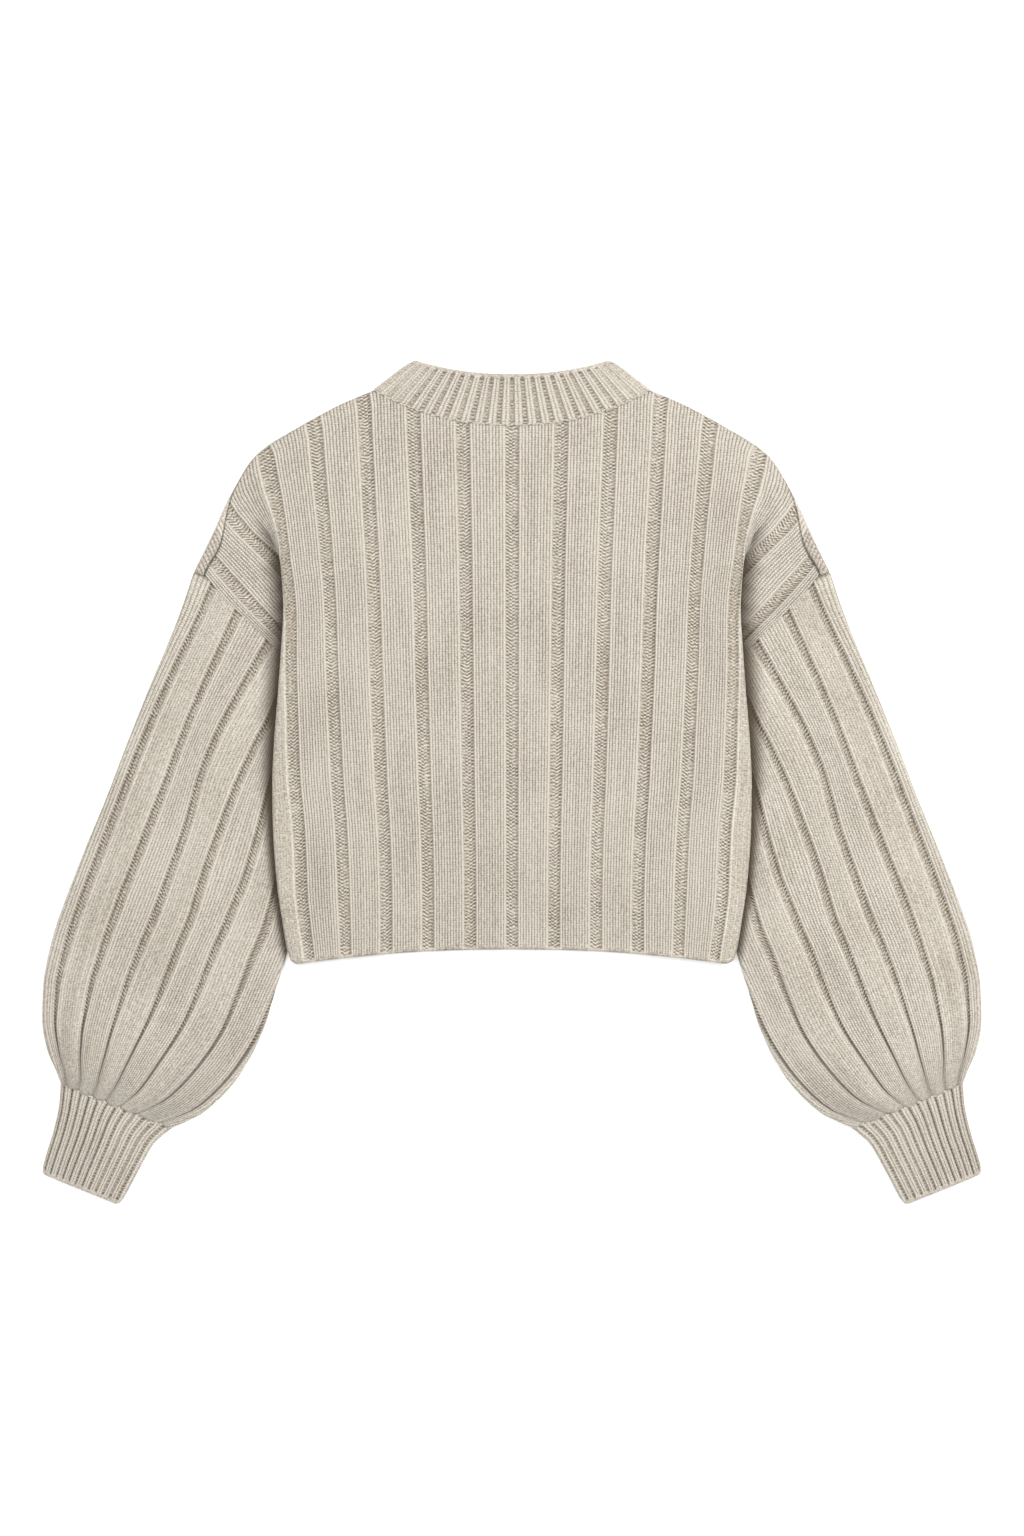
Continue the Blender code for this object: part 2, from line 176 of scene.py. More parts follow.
# Cuff: lines across it, from the gathered sleeve to the wrist
CUFF_COLUMNS = ("outer_x", "outer_y", "inner_x", "inner_y")
CUFF_RINGS = (
    (385.8, -257.9, 293.8, -295.4),
    (387.0, -275.0, 308.2, -308.0),
    (391.5, -297.0, 319.0, -326.0),
    (397.0, -315.0, 328.0, -343.0),
    (403.0, -335.5, 338.0, -362.0),
)
CUFF_REPEATS = 24
CUFF_CORNER = 4.5                   # radius of its corners
CUFF_FIRST_RIB = 0.03               # where the first groove crosses, as a share of the width
CUFF_RIB = 0.0745
CUFF_RIB_GROWTH = 0.00075
CUFF_START = -0.4                   # rib where its upper layer starts, at the outer edge
CUFF_TURN = 11.7                    # rib where it turns under, at the inner edge
CUFF_TOP = UPPER_Z + 0.6            # height of its upper layer at the edges
CUFF_PUFF = 0.9                     # and how far it rises in between
CUFF_PURL_DEPTH = 1.4
CUFF_FURROW_SHADE = 0.8                    # how dark the painted shade in its furrows is
CUFF_STITCHES = 21                  # along the gathers

# Neckband
NECK_HALF = 118.5
NECK_SIDE_Y = 337.5
BACK_NECK_Y = 308.0
FRONT_NECK_Y = 245.0
NECK_TOP_HALF = 85.0
NECK_CORNER_Y = 363.2
NECK_BACK_TOP_Y = 351.2
NECK_FRONT_TOP_Y = 290.0
NECK_HEIGHT = 43.0
NECK_RIBS = 11.5                    # rib repeats from the centre to each side
NECK_RIB = 0.0985                   # width of the middle ones, as a share of the half width
NECK_RIB_LOSS = 8.9e-5              # and how the outer ones get narrower
NECK_CORNER = 2.5                   # radius of its upper corners
NECK_PURL_HALF = 0.58               # half the width of its purl columns, in wales
NECK_PURL_DEPTH = 1.1
NECK_FURROW_SHADE = 0.7                    # how dark the painted shade in its furrows is
NECK_STITCH = 3.6                   # length of a stitch of the seam under it

# Camera and light
CAMERA_HEIGHT = 3.0
CAMERA_Y = 0.0129
VIEW_HEIGHT = 1.321                 # of the ground, from the picture's bottom to its top
SENSOR = 36.0

# Soft swells of the cloth: centre, direction, length, width and height
SWELLS = (
    (-132.0, 40.0, 97.0, 70.0, 17.0, 1.2),
    (-88.0, -95.0, 84.0, 42.0, 22.0, 1.0),
    (-20.0, 120.0, 60.0, 55.0, 30.0, 0.8),
    (46.0, -60.0, 102.0, 66.0, 19.0, 1.1),
    (118.0, 88.0, 74.0, 58.0, 15.0, 1.3),
    (142.0, -70.0, 95.0, 44.0, 13.0, 0.9),
    (70.0, 205.0, 128.0, 46.0, 20.0, 0.8),
    (-96.0, 215.0, 40.0, 38.0, 16.0, 0.9),
)
FOLD_SHADE = 0.97                   # painted shade on the cloth that lies under the body's folds
FOLD_CORE = 3.0                     # how far from the fold it stays as dark
FOLD_REACH = (8.0, 17.0)            # over what length it then fades, at the hem and by the armhole
ARMHOLE_RISE = 260.0                # from the hem to there


# Rows of the meshes: their distances from an edge near it, and how many lie evenly between
NEAR_HEM = (0.0, 0.3, 0.8, 1.6, 2.4, 3.2, 4.2, 5.4, 6.6, 9.0, 13.0)
NEAR_SEAM = (7.0, 4.0, 2.4, 1.4, 0.7, 0.3, 0.0)
NEAR_ARMHOLE = (0.0, 0.3, 0.8, 1.6, 3.0, 6.0)
NEAR_GATHERS = (8.0, 5.0, 3.0, 1.6, 0.8, 0.3, 0.0)
NEAR_RIB_SEAM = (0.0, 0.3, 0.8, 1.6, 3.0, 5.0)
NEAR_CUFF_END = (9.0, 6.5, 5.0, 4.0, 3.2, 2.4, 1.6, 0.8, 0.3, 0.0)
NEAR_NECK_END = (9.0, 6.5, 5.2, 4.2, 3.4, 2.6, 1.8, 1.0, 0.4, 0.0)
BACK_BETWEEN = 34
FRONT_BETWEEN = 18
SLEEVE_BETWEEN = 56
CUFF_BETWEEN = 14
NECK_BETWEEN = 12
EDGE_COLUMNS = 240                  # along a shoulder edge
EDGE_STEPS = 25                     # across it


# --- Curves and meshes ---------------------------------------------------------

def through(places, values, at):
    """A smooth curve through the values, with no overshoot, read at some places."""
    places = np.asarray(places, float)
    values = np.asarray(values, float)
    steps = np.diff(places)
    slopes = np.diff(values) / steps
    before = slopes[:-1]
    after = slopes[1:]
    tangents = np.zeros_like(values)
    tangents[0] = slopes[0]
    tangents[-1] = slopes[-1]
    turning = before * after <= 0
    total = np.where(turning, 1.0, before + after)
    tangents[1:-1] = np.where(turning, 0.0, 2.0 * before * after / total)
    index = np.clip(np.searchsorted(places, at, side="right") - 1, 0, len(steps) - 1)
    t = np.clip((at - places[index]) / steps[index], 0.0, 1.0)
    rise = values[index + 1] - values[index]
    start_slope = tangents[index] * steps[index]
    end_slope = tangents[index + 1] * steps[index]
    return (values[index] + start_slope * t
            + (3.0 * rise - 2.0 * start_slope - end_slope) * t ** 2
            + (start_slope + end_slope - 2.0 * rise) * t ** 3)


def table_at(rows, names, at):
    """All columns of a table, smoothed and read at some places, as a dictionary."""
    columns = np.array(rows, float).T
    places = np.arange(len(rows))
    return {name: through(places, column, at) for name, column in zip(names, columns)}


def smooth(share):
    """Ease from 0 to 1 with level ends."""
    share = np.clip(share, 0.0, 1.0)
    return share * share * (3.0 - 2.0 * share)


def fullness(distance):
    """Share of the full thickness at a distance from an edge, which is rounded off."""
    share = np.clip(distance / EDGE_ROUND, 0.0, 1.0)
    return 0.12 + 0.88 * np.sqrt(1.0 - (1.0 - share) ** 2)


def knit_relief(ribs, wales, purl_half, depth, purl_reach=None, matted=0.0, furrow_side=1.0):
    """Height of the face against the bands' wales, how much of it is purl, and the depth of painted shade
    in the furrows beside the purl columns, which also sinks them a little. Matted wales stand out less."""
    reach = purl_half if purl_reach is None else purl_reach
    offset = (ribs + 0.5) % 1.0 - 0.5
    wale = np.abs(offset) * wales
    purl = 1.0 - smooth((wale - reach + PURL_EDGE / 2.0) / PURL_EDGE)
    groove = np.abs(np.cos(math.pi * (wale - purl_half))) ** 3
    band = np.clip((wale - purl_half) / (wales / 2 - purl_half), 0.0, 1.0)
    crown = BAND_CROWN * np.sin(band * math.pi / 2)
    knit = crown - WALE_DEPTH * groove * (1.0 - 0.7 * matted)
    sunk = -depth - 0.2 * groove
    side_share = np.where(offset * furrow_side > 0.0, *FURROW_SHARES)
    furrow = np.exp(-((wale - reach + 0.25) / 0.6) ** 2) * side_share
    return knit * (1.0 - purl) + sunk * purl - FURROW_DEPTH * furrow, purl, furrow


def rib_relief(ribs, from_edge, reach, depth):
    """The same for the neckband and cuffs: two round wales and a deep purl furrow."""
    offset = np.abs((ribs + 0.5) % 1.0 - 0.5) * RIB_WALES
    end = 2.4 + 1.3 * (offset / RIB_PURL).clip(0.0, 1.0) ** 2
    plain = 1.0 - smooth((from_edge - end + 0.6) / 1.2)
    purl = 1.0 - smooth((offset - reach + 0.2) / 0.4)
    middle = np.exp(-((offset - RIB_WALES / 2) / 0.16) ** 2)
    knit = 0.25 * np.sin(math.pi * np.clip(offset - RIB_PURL, 0.0, 1.0)) - 0.5 * middle
    relief = (knit * (1.0 - purl) - depth * purl) * (1.0 - plain) - 0.3 * plain
    # Painted shade in the purl furrows, strongest a little way from the end, and in a thin line by the
    # rim
    furrow_end = np.exp(-((from_edge - 4.6) / 1.3) ** 2)
    furrow = purl * (1.0 - plain) * (0.2 + 0.45 * furrow_end)
    rim_shade = 0.22 * np.exp(-((from_edge - 1.4) / 0.45) ** 2)
    return relief, purl * (1.0 - plain), plain, np.maximum(furrow, rim_shade)


def hem_plainness(ribs, from_hem):
    """Wales are joined in pairs above the plain edge, each pair by a small loop."""
    wale = np.abs((ribs + 0.5) % 1.0 - 0.5) * BODY_WALES - BODY_PURL
    odd = np.round(wale) % 2
    end = HEM_BAND + 2.4 * odd * (wale > 0.5)
    return 1.0 - smooth((from_hem - end + 0.6) / 1.2)


def net_normals(middle, closed):
    """Unit normals of a net of points, shaped rows by columns."""
    if closed:
        along = np.roll(middle, -1, axis=1) - np.roll(middle, 1, axis=1)
    else:
        along = np.gradient(middle, axis=1)
    normals = np.cross(along, np.gradient(middle, axis=0))
    lengths = np.linalg.norm(normals, axis=2, keepdims=True)
    return normals / np.maximum(lengths, 1e-9)


def net_faces(rows, columns, closed, first, flip):
    """Corner numbers of the quads between neighbouring points of a net."""
    row = np.arange(rows - 1)[:, None]
    column = np.arange(columns if closed else columns - 1)[None, :]
    following = (column + 1) % columns
    corners = [row * columns + column, row * columns + following,
               (row + 1) * columns + following, (row + 1) * columns + column]
    faces = np.stack(corners, axis=-1).reshape(-1, 4) + first
    return faces[:, ::-1] if flip else faces


def rim_faces(rows, columns, closed, flip):
    """Quads that close a shell between its face and its reverse, all round its edges."""
    other = rows * columns
    column = np.arange(columns if closed else columns - 1)
    following = (column + 1) % columns
    last = (rows - 1) * columns
    rims = [np.stack([following, column, column + other, following + other], axis=-1),
            np.stack([last + column, last + following,
                      last + following + other, last + column + other], axis=-1)]
    if not closed:
        row = np.arange(rows - 1) * columns
        end = row + columns - 1
        rims.append(np.stack([row, row + columns, row + columns + other, row + other], axis=-1))
        rims.append(np.stack([end + columns, end, end + other, end + columns + other], axis=-1))
    faces = np.concatenate(rims)
    return faces[:, ::-1] if flip else faces


def knit_shell(name, middle, face, reverse, wale_uv, course_uv, tints, closed, face_up):
    """A closed shell of knit: face and reverse are offsets from the middle surface. Where it would
    reach below the ground, it is pressed flat. tints are named values for the material."""
    rows, columns = middle.shape[:2]
    normals = net_normals(middle, closed)
    if face_up != (normals[rows // 2, columns // 4, 2] > 0):
        normals = -normals
        flip = True
    else:
        flip = False
    sides = [middle + normals * face[..., None], middle - normals * reverse[..., None]]
    points = np.concatenate([side.reshape(-1, 3) for side in sides])
    points[:, 2] = np.maximum(points[:, 2], 0.0)
    points = points * MM
    quads = np.concatenate([
        net_faces(rows, columns, closed, 0, flip),
        net_faces(rows, columns, closed, rows * columns, not flip),
        rim_faces(rows, columns, closed, flip)])
    mesh = bpy.data.meshes.new(name)
    mesh.vertices.add(len(points))
    mesh.vertices.foreach_set("co", points.ravel())
    mesh.loops.add(quads.size)
    mesh.loops.foreach_set("vertex_index", quads.ravel().astype(np.int32))
    mesh.polygons.add(len(quads))
    mesh.polygons.foreach_set("loop_start", np.arange(0, quads.size, 4, dtype=np.int32))
    mesh.update(calc_edges=True)
    mesh.validate()
    uv = np.stack([wale_uv.ravel(), course_uv.ravel()], axis=-1)
    uv = np.concatenate([uv, uv])[quads.ravel()]
    if closed:
        uv = unwrap_last_column(uv, quads, columns, wale_uv)
    layer = mesh.uv_layers.new(name="Knit")
    layer.data.foreach_set("uv", uv.ravel())
    for label, values in tints.items():
        attribute = mesh.attributes.new(label, "FLOAT", "POINT")
        attribute.data.foreach_set("value", np.concatenate([values.ravel()] * 2))
    return link_mesh(name, mesh)


def unwrap_last_column(uv, quads, columns, wale_uv):
    """Wale numbers go on past the last column of a closed tube, and don't start again."""
    column = quads.ravel() % columns
    span = wale_uv[0, -1] - wale_uv[0, 0]
    step = span / (columns - 1)
    per_quad = column.reshape(-1, 4)
    wraps = (per_quad.max(axis=1) == columns - 1) & (per_quad.min(axis=1) == 0)
    at_start = (per_quad == 0) & wraps[:, None]
    uv = uv.copy()
    uv[at_start.ravel(), 0] += span + step
    return uv


def spread_rows(start, end, near_start, near_end, count):
    """Levels from start to end for each column: given distances near both ends, even between."""
    length = end - start
    room = np.maximum(near_start[-1] + near_end[0] + 4.0, 1.0)
    squeeze = np.minimum(1.0, length / room)
    first = [start + distance * squeeze for distance in near_start]
    last = [end - distance * squeeze for distance in near_end]
    inner = [first[-1] + (last[0] - first[-1]) * share
             for share in np.linspace(0.0, 1.0, count + 2)[1:-1]]
    return np.stack(first + inner + last)


def run_lengths(points):
    """Length along a line of points, or along each column of a net, up to each point."""
    steps = np.linalg.norm(np.diff(points, axis=0), axis=-1)
    return np.concatenate([np.zeros_like(steps[:1]), np.cumsum(steps, axis=0)])


def unit(vectors):
    return vectors / np.linalg.norm(vectors, axis=-1, keepdims=True)


def link_mesh(name, mesh):
    mesh.shade_smooth()
    piece = bpy.data.objects.new(name, mesh)
    bpy.context.scene.collection.objects.link(piece)
    return piece


# --- Materials -------------------------------------------------------------------

class Number:
    """A number that varies over a surface. Arithmetic on it adds nodes to its material."""

    def __init__(self, shader, socket):
        self.shader = shader
        self.socket = socket

    def __add__(self, other):
        return self.shader.math("ADD", self, other)

    def __sub__(self, other):
        return self.shader.math("SUBTRACT", self, other)

    def __rsub__(self, other):
        return self.shader.math("SUBTRACT", other, self)

    def __mul__(self, other):
        return self.shader.math("MULTIPLY", self, other)

    def __pow__(self, power):
        return self.shader.math("POWER", self, power)

    def __mod__(self, length):
        return self.shader.math("FLOORED_MODULO", self, length)

    def __lt__(self, other):
        return self.shader.math("LESS_THAN", self, other)

    def at_least(self, low):
        return self.shader.math("MAXIMUM", self, low)

    def at_most(self, high):
        return self.shader.math("MINIMUM", self, high)

    def clamped(self):
        return self.at_most(1.0).at_least(0.0)

    def back_and_forth(self, top):
        return self.shader.math("PINGPONG", self, top)

    def sine(self):
        return self.shader.math("SINE", self)

    def floor(self):
        return self.shader.math("FLOOR", self)


class Shader:
    """Short ways to add and join the nodes of one material."""

    def __init__(self, name):
        self.material = bpy.data.materials.new(name)
        self.material.use_nodes = True
        self.nodes = self.material.node_tree.nodes
        self.links = self.material.node_tree.links
        self.principled = self.nodes["Principled BSDF"]

    def node(self, kind, **settings):
        node = self.nodes.new(kind)
        for key, value in settings.items():
            setattr(node, key, value)
        return node

    def feed(self, socket, value):
        if isinstance(value, (int, float, tuple)):
            socket.default_value = value
        elif isinstance(value, Number):
            self.links.new(value.socket, socket)
        else:
            self.links.new(value, socket)

    def math(self, operation, *values):
        node = self.node("ShaderNodeMath", operation=operation)
        for socket, value in zip(node.inputs, values):
            self.feed(socket, value)
        return Number(self, node.outputs[0])

    def mix(self, share, low, high):
        """A number between low and high."""
        node = self.node("ShaderNodeMix", data_type="FLOAT")
        self.feed(node.inputs[0], share)
        self.feed(node.inputs[2], low)
        self.feed(node.inputs[3], high)
        return Number(self, node.outputs[0])

    def mix_color(self, share, low, high):
        node = self.node("ShaderNodeMix", data_type="RGBA")
        self.feed(node.inputs[0], share)
        self.feed(node.inputs[6], low)
        self.feed(node.inputs[7], high)
        return node.outputs[2]

    def noise(self, vector, scale, detail):
        node = self.node("ShaderNodeTexNoise")
        self.links.new(vector, node.inputs["Vector"])
        node.inputs["Scale"].default_value = scale
        node.inputs["Detail"].default_value = detail
        return Number(self, node.outputs["Fac"])

    def uneven(self, vector, unevenness):
        """Noise as a change around 0."""
        scale, detail, strength = unevenness
        return (self.noise(vector, scale, detail) - 0.5) * strength

    def attribute(self, name):
        return Number(self, self.node("ShaderNodeAttribute", attribute_name=name).outputs["Fac"])

    def finish(self, color, height, bump, bump_depth):
        """Rough wool of a colour, with bumps that follow height. bump_depth is in metres."""
        relief = self.node("ShaderNodeBump")
        relief.inputs["Strength"].default_value = bump
        relief.inputs["Distance"].default_value = bump_depth
        self.feed(relief.inputs["Height"], height)
        self.feed(self.principled.inputs["Normal"], relief.outputs["Normal"])
        self.feed(self.principled.inputs["Base Color"], color)
        self.principled.inputs["Roughness"].default_value = 0.95
        self.principled.inputs["Specular IOR Level"].default_value = 0.15
        return self.material


LIGHT_YARN = (0.545, 0.505, 0.438, 1.0)
DARK_YARN = (0.145, 0.114, 0.078, 1.0)
# Painted shade: the colour that cloth is darkened towards in folds, creases, furrows and along seams
DEEP_SHADE = (0.056, 0.040, 0.023, 1.0)
# Looks of each knit: tone of its purl columns, strength of the strokes on them, how dashed the painted
# shade in the furrows beside them is, how strong the painted highlight on the wales next to them is,
# how dark the grooves between wales are in bump and painted shade, and how much darker matted cloth is
BODY_TONES = {"purl": 0.44, "strokes": 0.52, "dashes": 0.5, "painted_highlight": 0.28,
              "grooves": 0.85, "matted": 0.2}
SLEEVE_TONES = {"purl": 0.34, "strokes": 0.5, "dashes": 0.5, "painted_highlight": 0.14,
                "grooves": 0.85, "matted": 0.17}
RIB_TONES = {"purl": 0.46, "strokes": 0.32, "dashes": 0.1, "painted_highlight": 0.02,
             "grooves": 0.6, "matted": 0.04}
# Unevenness of the knit: how many spots to a metre, how fine they are, and their strength
COURSE_WANDER = (260.0, 2.0, 0.9)
WALE_WANDER = (300.0, 1.0, 0.35)
PURL_WANDER = (380.0, 2.0, 1.1)
STROKE_PATCHES = (110.0, 1.0, 3.0)
MATTED_GRAIN = (640.0, 2.0, 1.6)
STRAND_TONE = (1.0, 1.0, 0.4)
HEATHER = (520.0, 4.0, 1.15)
CLOUDS = (16.0, 2.0, 0.35)
STROKES = 0.72                      # on the purl columns, to a course
STROKE_SLANT = 0.45
LEG_SLANT = 0.6                     # of the legs of a stitch, in courses across half a wale
DASHES = 0.65                       # of the painted shade in the furrows, to a course
WALE_TONE_STEP = 1.37               # in the noise that gives each wale its tone
COURSE_TONE_STEP = 0.02


def knit_material(name, wales, purl_half, tones):
    """Matt wool: V stitches on the wales, short slanted strokes on the purl columns."""
    shader = Shader(name)
    parts = shader.node("ShaderNodeSeparateXYZ")
    shader.feed(parts.inputs[0], shader.node("ShaderNodeUVMap", uv_map="Knit").outputs["UV"])
    place = shader.node("ShaderNodeTexCoord").outputs["Object"]
    course = Number(shader, parts.outputs["Y"])
    row = course + shader.uneven(place, COURSE_WANDER)
    wale = Number(shader, parts.outputs["X"]) + shader.uneven(place, WALE_WANDER)
    ragged = shader.uneven(place, PURL_WANDER)
    plain = shader.attribute("plain")
    purl = shader.attribute("purl")
    purl = (purl + ragged * purl).clamped()

    # Across a wale: 0 in its middle, 1 in the groove beside it
    across = (wale - 0.5).back_and_forth(0.5) * 2.0
    groove = across ** 3.0 * (tones["grooves"] - plain * 0.6).at_least(0.1)
    # The two legs of each stitch rise outwards from the wale's middle
    leg = (1.0 - (row - across * LEG_SLANT).back_and_forth(0.5) * 2.0) ** 3.0 * 0.6
    knit_height = (1.0 - groove) * (1.0 - leg)

    # Purl: strokes that slant down to the middle of the column from both sides, and round bumps
    slope = ((wale + 2.0 * purl_half) % float(wales)).back_and_forth(purl_half) * STROKE_SLANT
    strokes = ((row * STROKES + slope) * (2.0 * math.pi)).sine()
    row_wave = (row * (STROKES * 2.0 * math.pi) + slope * math.pi).sine()
    bumps = row_wave * ((wale + ragged) * math.pi).sine()
    bumpy = (shader.uneven(place, STROKE_PATCHES) + 0.66).clamped()
    purl_height = shader.mix(bumpy, strokes, bumps * 1.6) * tones["strokes"] + tones["purl"]

    height = shader.mix(purl, knit_height, purl_height)
    height = shader.mix(plain * 0.65, height, shader.uneven(place, MATTED_GRAIN) + 0.6)
    rough_height = height + shader.noise(place, 1500.0, 3.0) * 0.4

    # Wales beside a purl column get a painted highlight, and each wale has its own tone
    band_wale = wale % float(wales)
    from_edge = band_wale.at_most((wales - 2.0 * purl_half) - band_wale)
    painted_highlight = (from_edge < 1.0) * (1.0 - purl)
    strand = shader.node("ShaderNodeCombineXYZ")
    shader.feed(strand.inputs[0], wale.floor() * WALE_TONE_STEP)
    shader.feed(strand.inputs[1], course * COURSE_TONE_STEP)
    # The colour follows the height, so grooves between wales and the purl columns are darker: the
    # stitches' pattern together with painted shade in those recesses
    tone = height + painted_highlight * tones["painted_highlight"] - plain * tones["matted"]
    tone = tone + shader.uneven(strand.outputs[0], STRAND_TONE)
    tone = tone + shader.uneven(place, HEATHER) + shader.uneven(place, CLOUDS)
    color = shader.mix_color(tone.clamped(), DARK_YARN, LIGHT_YARN)
    # Painted shade: the attribute for folds, creases and seams, and the furrows beside the purl columns
    # in dashes
    dashes = (row * (DASHES * 2.0 * math.pi)).sine() * tones["dashes"] + 0.6
    shade = shader.attribute("painted_shade") + shader.attribute("furrow") * dashes.clamped()
    color = shader.mix_color(shade.clamped(), color, DEEP_SHADE)

    shader.principled.inputs["Sheen Weight"].default_value = 0.12
    shader.principled.inputs["Sheen Roughness"].default_value = 0.6
    return shader.finish(color, rough_height, bump=0.9, bump_depth=0.0009)


def yarn_material(name):
    """Plain yarn of the seams."""
    shader = Shader(name)
    fuzz = shader.noise(shader.node("ShaderNodeTexCoord").outputs["Object"], 900.0, 3.0)
    tone = (fuzz - 0.5) * 0.9 + 0.72
    color = shader.mix_color(tone.clamped(), DARK_YARN, LIGHT_YARN)
    return shader.finish(color, fuzz, bump=0.6, bump_depth=0.0004)


# --- Back ------------------------------------------------------------------------

def tuck_points(run, tuck, angle, start_x, level_z, edge_x):
    """Places (x, z) along the tuck and the flap below it, by the cloth run since its start."""
    bend = np.radians(np.maximum(angle, 0.5))
    radius = TURN_LENGTH / bend
    first = np.clip(run, 0.0, TURN_LENGTH) / radius
    middle = np.clip(run - TURN_LENGTH, 0.0, tuck)
    second = np.clip(run - TURN_LENGTH - tuck, 0.0, TURN_LENGTH) / radius
    flap = np.maximum(run - 2.0 * TURN_LENGTH - tuck, 0.0)
    x = start_x + radius * np.sin(first) + middle * np.cos(bend)
    x = x + radius * (np.sin(bend) - np.sin(bend - second)) + flap
    z = level_z - radius * (1.0 - np.cos(first)) - middle * np.sin(bend)
    z = z - radius * (np.cos(bend - second) - np.cos(bend))
    return np.minimum(x, np.maximum(edge_x, x - flap)), z


def back_points(rows, ribs):
    """The back's middle surface on its right half, by row number and rib count. Its outline turns
    sharply at the shoulder's tip."""
    sizes = table_at(BODY_ROWS, BODY_COLUMNS, rows)
    below = table_at(BODY_ROWS[:TIP_ROW + 1], BODY_COLUMNS, np.minimum(rows, TIP_ROW))
    above = table_at(BODY_ROWS[TIP_ROW:], BODY_COLUMNS, np.maximum(rows - TIP_ROW, 0.0))
    for name in ("edge_x", "edge_y", "end_rib", "seam_rib", "flap_rib"):
        sizes[name] = np.where(rows <= TIP_ROW, below[name], above[name])
    bend = np.radians(np.maximum(sizes["angle"], 0.5))
    radius = TURN_LENGTH / bend
    lift = 2.0 * radius * (1.0 - np.cos(bend)) + sizes["tuck"] * np.sin(bend)

    def body_x(rib):
        return sizes["rib"] * rib + sizes["spread"] * np.maximum(rib - 3.0, 0.0) ** 2

    # Rib counts where the tuck starts and where the flap comes out of it
    start_rib = sizes["start_x"] / sizes["rib"]
    for _ in range(6):
        start_rib = start_rib + (sizes["start_x"] - body_x(start_rib)) / sizes["rib"]
    turned = 2.0 * TURN_LENGTH + sizes["tuck"]
    turned_x = (sizes["start_x"] + 2.0 * radius * np.sin(bend) + sizes["tuck"] * np.cos(bend))
    flap_length = np.maximum(sizes["edge_x"] - turned_x, 0.5)
    beside_seam = np.minimum(flap_length, SEAM_RIBS * sizes["seam_rib"])
    seam_ribs = beside_seam / sizes["seam_rib"]
    turned_rib = sizes["end_rib"] - seam_ribs - (flap_length - beside_seam) / sizes["flap_rib"]
    turned_rib = np.maximum(turned_rib, start_rib + 0.05)
    # Length of cloth from the start of the tuck to each rib column
    in_tuck = np.clip((ribs - start_rib) / (turned_rib - start_rib), 0.0, 1.0)
    from_seam = np.maximum(sizes["end_rib"] - ribs, 0.0)
    inner_ribs = np.maximum(sizes["end_rib"] - seam_ribs - turned_rib, 1e-6)
    flap_left = (beside_seam * np.minimum(from_seam / seam_ribs, 1.0)
                 + (flap_length - beside_seam) * np.clip((from_seam - seam_ribs) / inner_ribs, 0.0, 1.0))
    run = in_tuck * turned + (flap_length - flap_left)

    climb = smooth((body_x(ribs) / sizes["start_x"] - FLAT_SHARE) / RAMP_SHARE)
    tuck_x, tuck_z = tuck_points(run, sizes["tuck"], sizes["angle"], sizes["start_x"],
                                 UPPER_Z + lift, sizes["edge_x"])
    on_body = ribs <= start_rib
    x = np.where(on_body, body_x(ribs), tuck_x)
    z = np.where(on_body, UPPER_Z + lift * climb, tuck_z)
    y = sizes["level"] + (sizes["edge_y"] - sizes["level"]) * (x / sizes["edge_x"]) ** ROW_CURVE
    z = z + swells(x, y) * np.where(on_body, 1.0, 0.0)
    fold = smooth(lift / LAYER)
    hidden = smooth(run / TURN_LENGTH - 0.5) * smooth((turned - run) / TURN_LENGTH)
    # Painted shade on the flap beside the fold
    past_fold = x - sizes["start_x"] - LAYER / 2.0
    shaded = np.where(run > turned - 1.0, fold_shade(past_fold, y), 0.0)
    # The cloth is matted smooth along the fold
    matted_from = 5.08 - 0.22 * smooth((y - 30.0) / 60.0)
    at_fold = smooth((ribs - matted_from) / 0.08) * smooth((start_rib + 0.25 - ribs) / 0.1)
    return np.stack([x, y, z], axis=-1), hidden, shaded * fold, at_fold * fold


def fold_shade(past_fold, y):
    """Painted shade on the cloth beside a fold, by the distance from the fold."""
    low, high = FOLD_REACH
    reach = low + (high - low) * smooth((y - body_column("level")[0]) / ARMHOLE_RISE)
    return FOLD_SHADE * (1.0 - smooth((past_fold - FOLD_CORE) / reach))


def swells(x, y):
    """Soft unevenness of cloth that lies loosely: how far it stands up at some places."""
    height = np.zeros_like(x)
    for centre_x, centre_y, angle, length, width, rise in SWELLS:
        along_x = math.cos(math.radians(angle))
        along_y = math.sin(math.radians(angle))
        along = (x - centre_x) * along_x + (y - centre_y) * along_y
        across = (y - centre_y) * along_x - (x - centre_x) * along_y
        height = height + rise * np.exp(-(along / length) ** 2 - (across / width) ** 2)
    return height


def body_column(name):
    return np.array([row[BODY_COLUMNS.index(name)] for row in BODY_ROWS])


def end_rows(ribs):
    """Row number at which each rib column ends, on the neck seam or the shoulder seam."""
    end_ribs = body_column("end_rib")[TIP_ROW:]
    numbers = np.arange(TIP_ROW, len(BODY_ROWS))
    return np.interp(ribs, end_ribs[::-1], numbers[::-1])


def rib_columns(repeats, wales, steps):
    """Rib counts of the mesh columns, some steps to a wale, from the centre to the last repeat."""
    return np.arange(0, round(repeats * wales * steps) + 1) / (wales * steps)


def mirrored(half):
    """Both halves of a net of values, from its right half whose first column is central."""
    return np.concatenate([half[:, :0:-1], half], axis=1)


def mirrored_points(half):
    left = half[:, :0:-1] * np.array((-1.0, 1.0, 1.0))
    return np.concatenate([left, half], axis=1)


